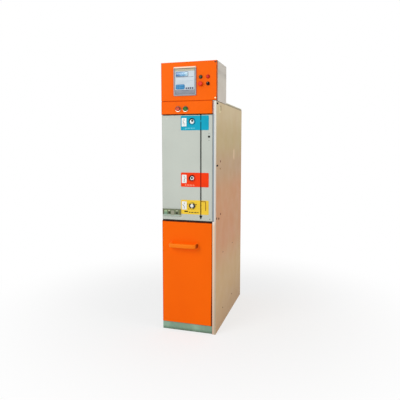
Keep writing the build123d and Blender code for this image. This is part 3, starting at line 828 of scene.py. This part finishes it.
def relay_labels():
    """The relay's printed front: a pale overlay, a cream head strip, rules and a grey-blue foot flap."""
    low, high = relay_field()
    gap, floor = 0.002, low.y
    printed = floor - RELAY_FILM
    left, right = low.x + gap, high.x - gap
    flap_top, head_bottom = low.z + 0.036, high.z - 0.024
    on_relay(
        "relay_overlay", (left, printed, flap_top + 0.002), (right, floor, head_bottom),
        label_film("relay_overlay_film", ink(208, 220, 228), 0.93),
        corner=0.003, rim=0.0002,
    )
    on_relay(
        "relay_head_strip", (left, printed, head_bottom + 0.001), (right, floor, high.z - 0.0065),
        label_film("relay_head_film", ink(192, 188, 164)),
        corner=0.003, rim=0.0002,
    )
    rules = []
    for place, rise in enumerate((0.112, 0.102, 0.092)):
        foot, end = low.z + rise, right - 0.012 - 0.03 * place
        rules.append(slab("rule", (left + 0.008, printed - 0.0003, foot), (end, printed, foot + 0.0022)))
    joined("relay_rules", rules, label_film("relay_rule_print", ink(176, 190, 200)), "lv_door")
    on_relay(
        "relay_flap", (left, floor - 0.0024, low.z + gap), (right, floor, flap_top),
        moulded("relay_flap_moulding", ink(142, 146, 156), 0.45, shine=0.2),
        corner=0.003, rim=0.0008,
    )
    inset = 0.056
    grip_low = (left + inset, floor - 0.0034, flap_top - 0.0075)
    on_relay(
        "relay_flap_grip", grip_low, (right - inset, floor - 0.0022, flap_top - 0.0035),
        moulded("relay_grip_moulding", ink(118, 124, 144), 0.42),
        corner=0.0018, rim=0.0005,
    )


def relay_display():
    """A blue display behind a clear pane in a dark bezel, and a rule under it."""
    low, high = relay_field()
    floor = low.y - RELAY_FILM
    width, height, border = 0.112, 0.040, 0.0035
    left, top = low.x + 0.008, high.z - 0.030
    right, bottom = left + width, top - height
    on_relay(
        "relay_display_bezel", (left, floor - 0.0014, bottom), (right, floor, top),
        moulded("display_bezel_moulding", ink(60, 84, 122), 0.35), "navy_plastic",
        corner=0.004, rim=0.0005,
    )
    glass = Finish("display_glass", ink(38, 122, 186), 0.12, coat=0.6)
    tones = [(0.0, ink(34, 104, 172)), (0.55, ink(92, 160, 204)), (1.0, ink(190, 220, 232))]
    glass.paint(glass.banded(glass.ramp("X", left, right), tones))
    glass.patchy_gloss(0.1, 0.22, 60, 2.0)
    pane_low = (left + border, floor - 0.0020, bottom + border)
    on_relay(
        "relay_display_pane", pane_low, (right - border, floor - 0.0012, top - border),
        glass.emboss(glass.noise(30), 0.0001, 0.05), "navy_plastic",
        corner=0.002, rim=0.0003,
    )
    rule_low, rule_high = (left, floor - 0.0003, bottom - 0.0062), (high.x - 0.012, floor, bottom - 0.0036)
    dark_rule = label_film("relay_dark_rule", ink(92, 110, 128))
    on_relay("relay_display_rule", rule_low, rule_high, dark_rule, "navy_plastic")


def relay_leds():
    """A row of signal lamps in the head strip, the first one green."""
    low, high = relay_field()
    base = Vector((low.x + 0.016, low.y - RELAY_FILM, high.z - 0.015))
    dome = [(0, 0.0016), (0.0013, 0.0013), (0.0021, 0.0005), (0.0022, 0), (0, 0)]
    step = 0.018
    green = moulded("signal_green", ink(64, 170, 84), 0.2, coat=0.5)
    spun("relay_signal_green", dome, base, green, "green_plastic", "lv_door", steps=16)
    part = turned("signal", dome, base + RIGHT * step, 16)
    amber = moulded("signal_amber", ink(196, 150, 88), 0.2, coat=0.5)
    places = [(step * place, 0, 0) for place in range(7)]
    repeated("relay_signals", part, places, amber, "lv_door")


def relay_key_pad():
    """A raised blue key field with two rows of small keys."""
    low = relay_field()[0]
    floor = low.y - RELAY_FILM
    left, bottom = low.x + 0.008, low.z + 0.042
    width, height = 0.080, 0.042
    on_relay(
        "relay_key_pad", (left, floor - 0.0018, bottom), (left + width, floor, bottom + height),
        moulded("key_pad_blue", ink(28, 122, 178)), "navy_plastic",
        corner=0.010, rim=0.0008,
    )
    first = Vector((left + 0.009, floor - 0.0034, bottom + 0.007))
    key_size = Vector((0.013, 0.0018, 0.010))
    key = slab("pad_key", first, first + key_size, corner=0.003, rim=0.0006)
    places = [(0.0166 * column, 0, 0.0175 * row) for column in range(4) for row in range(2)]
    moulded_finish = moulded("pad_key_rubber", ink(70, 156, 204), 0.5)
    repeated("relay_pad_keys", key, places, moulded_finish, "lv_door")


def relay_screws():
    """Four screws in the corners of the relay's frame."""
    low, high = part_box("relay_face")
    inset = RELAY_FRAME / 2
    part = pan_screw("relay_screw", (low.x + inset, low.y, low.z + inset), 0.006)
    across, upright = high.x - low.x - 2 * inset, high.z - low.z - 2 * inset
    places = [(x, 0, z) for z in (0, upright) for x in (0, across)]
    zinc = plated("relay_screw_zinc", ink(150, 154, 162), 0.3)
    repeated("relay_screws", part, places, zinc, "lv_door")


def relay_terminals():
    """Terminal blocks on the back of the relay case, each with a column of clamp screws."""
    low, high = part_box("relay_case")
    rail_width, margin = 0.020, 0.014
    spacing, pitch = 0.046, 0.0168
    rail_low = Vector((low.x + margin, high.y - 0.0002, low.z + margin))
    rail_high = Vector((low.x + margin + rail_width, high.y + 0.0024, high.z - margin))
    rail = slab("terminal_rail", rail_low, rail_high, 0.002, 0.0006, REAR)
    steps = [(place * spacing, 0, 0) for place in range(4)]
    black = moulded("terminal_moulding", ink(40, 44, 46), 0.5)
    repeated("relay_terminals", rail, steps, black, "lv_door")
    first = (rail_low.x + rail_width / 2, rail_high.y, rail_low.z + 0.010)
    places = [(column * spacing, 0, row * pitch) for column in range(4) for row in range(12)]
    zinc = plated("clamp_screw_zinc", ink(190, 186, 172), 0.3)
    clamp = pan_screw("clamp", first, 0.007, REAR)
    repeated("relay_clamp_screws", clamp, places, zinc, "lv_door")


def pilot_rings():
    """The round collars of the four devices in the door."""
    profile = [
        (0.0128, 0.0030), (0.0132, 0.0046), (0.0150, 0.0046), (0.0160, 0.0036), (0.0162, 0), (0.0128, 0),
        (0.0128, 0.0030),
    ]
    door_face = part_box("lv_door")[0].y
    collars = [
        ("green_lamp", moulded("lamp_collar_black", ink(26, 30, 20), 0.45, shine=0.2), "black_plastic"),
        ("red_lamp", moulded("lamp_collar_red", ink(160, 14, 4), 0.45, shine=0.2), "red_plastic"),
        ("mushroom_housing", moulded("mushroom_collar", ink(204, 44, 12), 0.45, shine=0.2), "red_plastic"),
        ("selector_housing", moulded("selector_collar", ink(92, 40, 18), shine=0.3), "bright_ring"),
    ]
    for node, finish, slot in collars:
        centre = middle_of(node)
        place = (centre.x, door_face, centre.z)
        spun(f"{node}_collar", profile, place, finish, slot, "lv_door", steps=32)


def selector_mark():
    """The pale mark along the selector's grip."""
    face, top = face_middle("selector_knob"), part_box("selector_knob")[1].z
    half_width = 0.0011
    low = (face.x - half_width, face.y - 0.0003, face.z + 0.001)
    high = (face.x + half_width, face.y + 0.0002, top - 0.004)
    white = moulded("selector_mark_white", ink(226, 222, 210))
    laid("selector_mark", low, high, white, "white_plastic", "selector_knob", corner=0.0008)


def mushroom_cap():
    """A shallow dish turned into the mushroom button's head."""
    profile = [(0, 0.0006), (0.007, 0.0008), (0.0118, 0.0017), (0.0136, 0.0014), (0.0146, 0), (0, 0)]
    red = moulded("mushroom_cap_red", ink(240, 58, 28), shine=0.2)
    base = face_middle("mushroom_button", 0.0002)
    spun("mushroom_cap", profile, base, red, "orange_red_plastic", "mushroom_button", steps=32)


def door_fixings():
    """The caps over the two hinge pins at the door's right corners, dark above, and plated bright below as a
    painted highlight.
    """
    low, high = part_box("lv_door")
    profile = [(0, 0.0034), (0.0035, 0.0032), (0.0056, 0.0022), (0.0066, 0.0008), (0.0068, 0), (0, 0)]
    x, end_gap = high.x - 0.012, 0.013
    dark = moulded("door_cap_black", ink(70, 44, 26))
    bright = plated("door_cap_highlight", ink(250, 226, 176), 0.2)
    spun("door_cap_upper", profile, (x, low.y, high.z - end_gap), dark, "black_plastic", "lv_door")
    spun("door_cap_lower", profile, (x, low.y, low.z + end_gap + 0.004), bright, "bright_ring", "lv_door")


def box_seal():
    """The seal round the box's mouth, behind the door, in lengths that stop short of the hinge lugs."""
    floor_low, floor_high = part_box("lv_floor")
    roof_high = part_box("lv_roof")[1]
    lug_low, lug_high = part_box("door_hinges")
    front, back = floor_low.y - 0.0045, floor_low.y + 0.001
    bead, edge, lug_gap = 0.0092, 0.0003, 0.006
    left, right = floor_low.x + edge, floor_high.x - edge
    bottom, top = floor_low.z + edge, roof_high.z - edge
    lug_bottom, lug_top = lug_low.z + 0.012, lug_high.z - 0.012
    lengths = [
        ((left, front, bottom), (right, back, bottom + 0.005)),
        ((left, front, top - 0.005), (right, back, top)),
        ((left, front, bottom + 0.006), (left + bead, back, top - 0.006)),
        ((right - bead, front, lug_bottom + lug_gap), (right, back, lug_top - lug_gap)),
    ]
    parts = [slab("seal", low, high, rim=0.0018) for low, high in lengths]
    joined("box_seal", parts, moulded("seal_rubber", ink(120, 118, 112), 0.7))


# ---------------------------------------------------------------- mechanism front
def band_top_fold():
    """The band's folded top edge, in the gap under the low-voltage door, painted darker than the band as
    shade in the gap.
    """
    low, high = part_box("mechanism_band")
    fold_low = (low.x + 0.001, low.y + 0.002, high.z + 0.0003)
    fold_high = (high.x - 0.001, high.y - 0.001, high.z + 0.0038)
    coat = plain_coat("fold_orange_shade", ink(236, 92, 4), 0.45)
    laid("band_top_fold", fold_low, fold_high, coat, "orange_paint", rim=0.0012)


def breaker_button_faces():
    """The dished faces of the two breaker buttons, painted lighter than the buttons as a highlight."""
    profile = [
        (0, 0.0004), (0.0060, 0.0006), (0.0105, 0.0020), (0.0130, 0.0022), (0.0148, 0.0010), (0.0152, 0),
        (0, 0),
    ]
    tones = {
        "open_button": (ink(214, 88, 64), "red_plastic"),
        "close_button": (ink(50, 122, 46), "green_plastic"),
    }
    for node, (tone, slot) in tones.items():
        finish = moulded(f"{node}_face_moulding", tone, shine=0.2)
        spun(f"{node}_face", profile, face_middle(node, 0.0002), finish, slot, node, steps=32)


# ---------------------------------------------------------------- mimic panel
def window_symbols():
    """A switch symbol behind each window: two contacts and a blade, open or closed."""
    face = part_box("position_windows")[0].y + 0.001
    stroke, depth, hinge_drop = 0.0042, 0.0004, 0.0115
    pin_profile = [(0, 0.0006), (0.0024, 0.0006), (0.0030, 0.0002), (0.0030, 0), (0, 0)]
    window_margin, window_width, window_height = 0.009, 0.044, 0.072
    reach = window_height / 2 - 0.009
    window_lifts_and_leans = {
        "teal_plate": (0.007, 26), "red_plate": (0.007, -22), "yellow_plate": (0.0135, 38)
    }
    parts = []

    def bar(name, x, bottom, top, corner):
        return slab(name, (x - stroke / 2, face - depth, bottom), (x + stroke / 2, face, top), corner)

    for node, (lift, lean) in window_lifts_and_leans.items():
        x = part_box(node)[0].x + window_margin + window_width / 2
        z = middle_of(node).z + lift
        for sign in (-1, 1):
            bottom, top = sorted((z + sign * reach, z + sign * hinge_drop))
            parts.append(bar("stem", x, bottom, top, 0.0009))
        blade = bar("blade", x, z - hinge_drop, z + 0.0135, 0.0012)
        pick(blade)
        pivot = Vector((x, face, z - hinge_drop))
        bpy.ops.transform.rotate(value=math.radians(lean), orient_axis="Y", center_override=pivot)
        parts += [settle(blade), turned("pin", pin_profile, pivot, 16)]
    joined("window_symbols", parts, label_film("symbol_print", ink(112, 112, 110)))


def port_shutters():
    """A bright shutter in each lever port, set a little to one side, and its key hole."""
    crown, back, key_back = 0.0026, -0.0010, -0.0012
    dark, pale = ink(10, 10, 12), ink(246, 240, 206)
    shutters = {
        "teal_port": (0.0190, (0.0015, 0, -0.0020), 0.0094, (0.0036, -crown, 0.0068), dark),
        "red_port": (0.0165, (0.0016, 0, 0.0012), 0.0094, (-0.0006, -crown, 0.0030), dark),
        "yellow_port": (0.0145, (0, 0, 0), 0.0050, (-0.0020, -crown, -0.0010), pale),
    }
    for node, (radius, shift, key_radius, key_shift, key_tone) in shutters.items():
        base = face_middle(node, 0.0008) + Vector(shift)
        profile = [
            (0, crown), (radius * 0.5, crown), (radius - 0.003, crown - 0.0004), (radius, 0.0004),
            (radius, back), (0, back),
        ]
        enamel = moulded(f"{node}_shutter_enamel", ink(240, 242, 240), 0.3, coat=0.3)
        spun(f"{node}_shutter", profile, base, enamel, "bright_ring", steps=40)
        key_profile = [
            (0, 0.0006), (key_radius * 0.7, 0.0007), (key_radius, 0.0010), (key_radius, key_back),
            (0, key_back),
        ]
        key_moulding = moulded(f"{node}_key_moulding", key_tone, 0.5, shine=0.1)
        key_base = base + Vector(key_shift)
        spun(f"{node}_key_hole", key_profile, key_base, key_moulding, "black_plastic", steps=28)


def red_port_catch():
    """The dark catch at the foot of the red port's shutter."""
    profile = [(0, 0.0032), (0.0030, 0.0030), (0.0042, 0.0022), (0.0042, -0.0010), (0, -0.0010)]
    base = face_middle("red_port", 0.0008) + Vector((0.003, 0, -0.0150))
    black = moulded("catch_black", ink(14, 10, 8), 0.5, shine=0.1)
    spun("red_port_catch", profile, base, black, "black_plastic", steps=20)


def port_stops():
    """The flats at the head and foot of the yellow port, which leave its dark collar at the sides only."""
    low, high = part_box("yellow_port")
    face = face_middle("yellow_port")
    radius = (high.x - low.x) / 2
    flats = [(0.0120, radius - 0.0110, radius - 0.0030), (0.0075, -radius + 0.0030, -radius + 0.0105)]
    stops = []
    for half_width, bottom, top in flats:
        stop_low = face + Vector((-half_width, -0.0005, bottom))
        stop_high = face + Vector((half_width, 0.001, top))
        stops.append(slab("stop", stop_low, stop_high, corner=0.0030, rim=0.0002))
    joined("port_stops", stops, label_film("port_stop_print", ink(238, 206, 84)))


def row_of_dashes(name, x, face, z, lengths, height, tone, slot):
    """A short printed row on a plate: plain dashes with rounded ends."""
    gap, film = 0.0045, 0.0003
    dashes = []
    for length in lengths:
        low, high = (x, face - film, z - height / 2), (x + length, face, z + height / 2)
        dashes.append(slab("dash", low, high, height * 0.4))
        x += length + gap
    joined(name, dashes, label_film(f"{name}_print", tone))


def plate_printing():
    """Plain dashes and dots where an instruction plate has its lines."""
    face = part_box("teal_plate")[0].y
    teal_row = (0.016, 0.024, 0.020, 0.014)
    red_row = (0.012, 0.024, 0.022, 0.016)
    yellow_row = (0.016, 0.024, 0.022, 0.014)
    foot_row = (0.010, 0.014)
    rows = [
        ("teal_dashes", "teal_plate", 0.040, 0.018, teal_row, 0.0062, ink(120, 218, 232), "teal_film"),
        ("teal_foot_dashes", "teal_plate", 0.024, 0.010, foot_row, 0.005, ink(88, 210, 232), "teal_film"),
        ("red_dashes", "red_plate", 0.036, 0.016, red_row, 0.0062, ink(255, 172, 140), "red_film"),
        ("yellow_dashes", "yellow_plate", 0.072, 0.0165, yellow_row, 0.009, ink(112, 100, 40), "brown_film"),
        ("yellow_arrow_dash", "yellow_plate", 0.030, 0.0235, (0.034,), 0.011, ink(52, 44, 0), "brown_film"),
    ]
    for name, plate, aside, rise, *look in rows:
        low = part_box(plate)[0]
        row_of_dashes(name, low.x + aside, face, low.z + rise, *look)
    port = middle_of("yellow_port")
    dot = [(0, 0.0006), (0.0036, 0.0006), (0.0044, 0.0002), (0.0044, 0), (0, 0)]
    dots = [
        turned("dot", dot, (port.x - aside, face, port.z + rise), 20)
        for aside, rise in ((0.042, 0.014), (0.031, -0.030))
    ]
    joined("yellow_dots", dots, label_film("yellow_dot_print", ink(60, 56, 8)))
    wide_dot = [(radius * 1.25, height) for radius, height in dot]
    brown = label_film("brown_dot_print", ink(128, 72, 6))
    right_place = (port.x + 0.036, face, port.z + 0.012)
    spun("yellow_brown_dot", wide_dot, right_place, brown, "brown_film", steps=20)


def voltage_indicator_front():
    """The indicator's front: dark end posts, two test sockets under pale caps, and two lens windows."""
    low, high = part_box("voltage_indicator")
    face = low.y
    posts = [
        ("indicator_left_post", low.x + 0.001, 0.010, ink(108, 104, 84)),
        ("indicator_right_post", high.x - 0.009, 0.008, ink(118, 106, 44)),
    ]
    for name, x, width, tone in posts:
        laid(
            name, (x, face - 0.0022, low.z + 0.012), (x + width, face + 0.001, high.z - 0.003),
            moulded(f"{name}_moulding", tone, 0.45), "grey_plastic",
            corner=0.002, rim=0.0007,
        )
    socket = [
        (0, 0.0010), (0.0026, 0.0010), (0.0030, 0.0040), (0.0074, 0.0042), (0.0094, 0.0030), (0.0100, 0),
        (0, 0),
    ]
    first_x, second_x = low.x + 0.066, low.x + 0.135
    step = second_x - first_x
    level = low.z + (high.z - low.z) * 0.52
    part = turned("socket", socket, (first_x, face, level))
    black = moulded("socket_black", ink(38, 44, 18), 0.35)
    repeated("indicator_sockets", part, [(step, 0, -0.002)], black)
    cap_z = level + 0.0165
    cap_low = (first_x - 0.012, face - 0.0026, cap_z)
    cap = slab("cap", cap_low, (first_x + 0.008, face + 0.0005, cap_z + 0.0055), 0.002, 0.0008)
    white = moulded("indicator_cap_white", ink(214, 220, 186), 0.35)
    repeated("indicator_caps", cap, [(step + 0.003, 0, -0.001)], white)
    green = Finish("indicator_lens_green", ink(140, 170, 130), 0.2, coat=0.4)
    tones = [(0.0, ink(158, 184, 176)), (0.45, ink(110, 146, 116)), (1.0, ink(168, 190, 142))]
    green.paint(green.banded(green.ramp("Z", low.z, high.z), tones))
    green.patchy_gloss(0.15, 0.3, 50, 2.0)
    lens = green.emboss(green.noise(400), 0.0002, 0.08)
    grey = moulded("indicator_block_grey", ink(148, 148, 126))
    windows = [
        ("indicator_lens", 0.016, 0.046, 0.012, 0.006, lens, 0.004),
        ("indicator_block", 0.080, 0.112, 0.010, 0.008, grey, 0.003),
    ]
    for name, left, right, foot, head, finish, corner in windows:
        window_low = (low.x + left, face - 0.0024, low.z + foot)
        window_high = (low.x + right, face + 0.0005, high.z - head)
        laid(name, window_low, window_high, finish, "grey_plastic", corner=corner, rim=0.0009)
    # A grey-green strip over the indicator's top: its top edge, and painted shade along it.
    edge_strip_low = (low.x - 0.002, face + 0.0015, high.z + 0.0008)
    laid(
        "indicator_edge_and_shade_strip", edge_strip_low, (high.x + 0.001, high.y - 0.0002, high.z + 0.0058),
        moulded("indicator_edge_and_shade_grey", ink(128, 132, 112), 0.45), "grey_plastic",
        corner=0.0015, rim=0.0006,
    )


def mimic_fixings():
    """The panel's screws, and the two short marks over and under its lock."""
    low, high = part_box("mimic_panel")
    dark = pan_screw("mimic_screw_low", (high.x - 0.024, low.y, low.z + 0.019))
    finished(dark, plated("mimic_screw_dark", ink(136, 140, 130), 0.35))
    # The upper screw is plated near white as a painted highlight.
    bright = pan_screw("mimic_screw_high", (low.x + 0.048, low.y, high.z - 0.031))
    finished(bright, plated("mimic_screw_highlight", ink(236, 238, 236), 0.25))
    lock = middle_of("panel_lock")
    half_width, film, height = 0.008, 0.0003, 0.005
    left, right = lock.x - half_width, lock.x + half_width
    feet = [lock.z + rise for rise in (0.026, -0.034)]
    marks = [slab("mark", (left, low.y - film, foot), (right, low.y, foot + height), 0.001) for foot in feet]
    joined("lock_marks", marks, label_film("lock_mark_print", ink(168, 172, 164)))


# ---------------------------------------------------------------- cable cover, end panel, rear and roof
def handle_collars():
    """A welded collar at the foot of each handle leg."""
    low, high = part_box("cover_handle")
    bar, rim = 0.026, 0.004
    collar_low = (low.x - rim, high.y - 0.0045, low.z - rim)
    collar = slab("collar", collar_low, (low.x + bar + rim, high.y, high.z + rim), 0.015, 0.002)
    orange = plain_coat("collar_orange", ink(250, 112, 10), 0.36)
    repeated("handle_collars", collar, [(high.x - low.x - bar, 0, 0)], orange)


def cover_seam():
    """Dark strips beside the cable cover and in the seam over it, as painted shade in those gaps."""
    low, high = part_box("cable_cover")
    panel_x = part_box("right_end_panel")[0].x
    upright_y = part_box("front_upright")[0].y
    mimic_low, mimic_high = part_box("mimic_panel")
    play = 0.0002
    moulded_finish = moulded("seam_shade_moulding", ink(40, 22, 12), 0.8)
    side_strip_low, side_strip_high = (high.x + play, low.y + 0.004, low.z), (panel_x - play, upright_y - play, high.z)
    laid("cover_seam_shade_strip", side_strip_low, side_strip_high, moulded_finish, "black_plastic", corner=0.0005)
    strip_low = (low.x + 0.0005, mimic_low.y + 0.004, high.z + play)
    strip_high = (high.x - 0.0005, mimic_high.y - 0.001, mimic_low.z - play)
    laid("mimic_gap_shade_strip", strip_low, strip_high, moulded_finish, "black_plastic", rim=0.001)


def end_panel_fixings():
    """The end panel's plugs near its front edge, its rivets, and the four screws low down."""
    low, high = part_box("right_end_panel")

    def on_side(back, level):
        return Vector((high.x, low.y + back, low.z + level))

    def fixed(name, part, places, finish):
        first = places[0]
        repeated(name, part, [(0, y - first[0], z - first[1]) for y, z in places], finish)

    def plate(name, back, level, size, rim):
        foot = on_side(back, level)
        return slab(name, foot, foot + Vector(size), 0.0068, rim, RIGHT)

    plug_black = moulded("side_plug_black", ink(10, 10, 10), 0.6, shine=0.05)
    plug_places = [(0.014, 2.022), (0.014, 1.491)]
    first_corner = on_side(*plug_places[0])
    plug = slab("plug", first_corner, first_corner + Vector((0.0028, 0.048, 0.015)), 0.0072, 0.001, RIGHT)
    fixed("side_plugs", plug, plug_places, plug_black)
    stud_places = [(0.026, 1.039), (0.100, 1.026)]
    stud = hole_plug("stud", on_side(*stud_places[0]), 0.020)
    fixed("side_studs", stud, stud_places, plug_black)
    rivet_places = [(0.154, 1.532), (0.163, 1.058)]
    rivet = hole_plug("rivet", on_side(*rivet_places[0]), 0.020, 0.0022)
    rivet_coat = plain_coat("side_rivet_coat", ink(122, 70, 48), 0.5)
    fixed("side_rivets", rivet, rivet_places, rivet_coat)
    painted = hole_plug("side_rivet_painted", on_side(0.150, 1.467), 0.016, 0.0022)
    finished(painted, plain_coat("side_rivet_paint", ink(160, 124, 84), 0.5))
    cap = plate("side_slot_cap", 0.152, 1.975, (0.002, 0.014, 0.046), 0.0006)
    finished(cap, plain_coat("side_cap_coat", ink(134, 104, 70), 0.5))
    # A pale strip beside the slot, as a painted highlight on its edge.
    highlight_strip = plate("side_slot_highlight_strip", 0.114, 1.955, (0.0012, 0.026, 0.052), 0.0005)
    finished(highlight_strip, plain_coat("side_slot_highlight_coat", ink(240, 230, 180), 0.5))
    screw_places = [(0.264, 0.688), (0.664, 0.688), (0.657, 0.156), (0.266, 0.154)]
    screw = pan_screw("side_screw", on_side(*screw_places[0]), 0.0112, RIGHT)
    screw_coat = plain_coat("side_screw_coat", ink(82, 52, 32), 0.5)
    fixed("side_screws", screw, screw_places, screw_coat)


def rear_fixings():
    """Screws round both rear panels."""
    lower_low, lower_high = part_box("rear_lower_panel")
    upper_low, upper_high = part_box("rear_upper_panel")
    margin = 0.014
    first = (upper_low.x + margin, upper_high.y, upper_low.z + margin)
    across = upper_high.x - upper_low.x - 2 * margin
    upper_rise = (upper_high.z - upper_low.z - 2 * margin) / 4
    lower_start = lower_low.z - upper_low.z
    lower_end = lower_start + (lower_high.z - lower_low.z - 2 * margin)
    places = [(x, 0, upper_rise * step) for x in (0, across) for step in range(5)]
    places += [(across / 2, 0, 0), (across / 2, 0, upper_rise * 4)]
    places += [(x, 0, z) for x in (0, across, across / 2) for z in (lower_start, lower_end)]
    zinc = plated("rear_screw_zinc", ink(188, 188, 182), 0.3)
    repeated("rear_screws", pan_screw("rear_screw", first, out=REAR), places, zinc)


def roof_fixings():
    """Screws round the edge of the roof lid."""
    low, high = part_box("roof_lid")
    margin = 0.016
    screw = pan_screw("lid_screw", (low.x + margin, low.y + margin, high.z), 0.010, UP)
    across, along = high.x - low.x - 2 * margin, high.y - low.y - 2 * margin
    places = [(across * step / 2, y, 0) for step in range(3) for y in (0, along)]
    places += [(x, along * step / 4, 0) for x in (0, across) for step in (1, 2, 3)]
    zinc = plated("lid_screw_zinc", ink(188, 188, 182), 0.3)
    repeated("roof_lid_screws", screw, places, zinc)


dress_cad_nodes()
relay_labels()
relay_display()
relay_leds()
relay_key_pad()
relay_screws()
relay_terminals()
pilot_rings()
selector_mark()
mushroom_cap()
door_fixings()
box_seal()
band_top_fold()
breaker_button_faces()
window_symbols()
port_shutters()
red_port_catch()
port_stops()
plate_printing()
voltage_indicator_front()
mimic_fixings()
handle_collars()
cover_seam()
end_panel_fixings()
rear_fixings()
roof_fixings()
white_surroundings()
pale_floor()
studio_lamps()
studio_camera()

bpy.context.scene.view_settings.view_transform = "Standard"
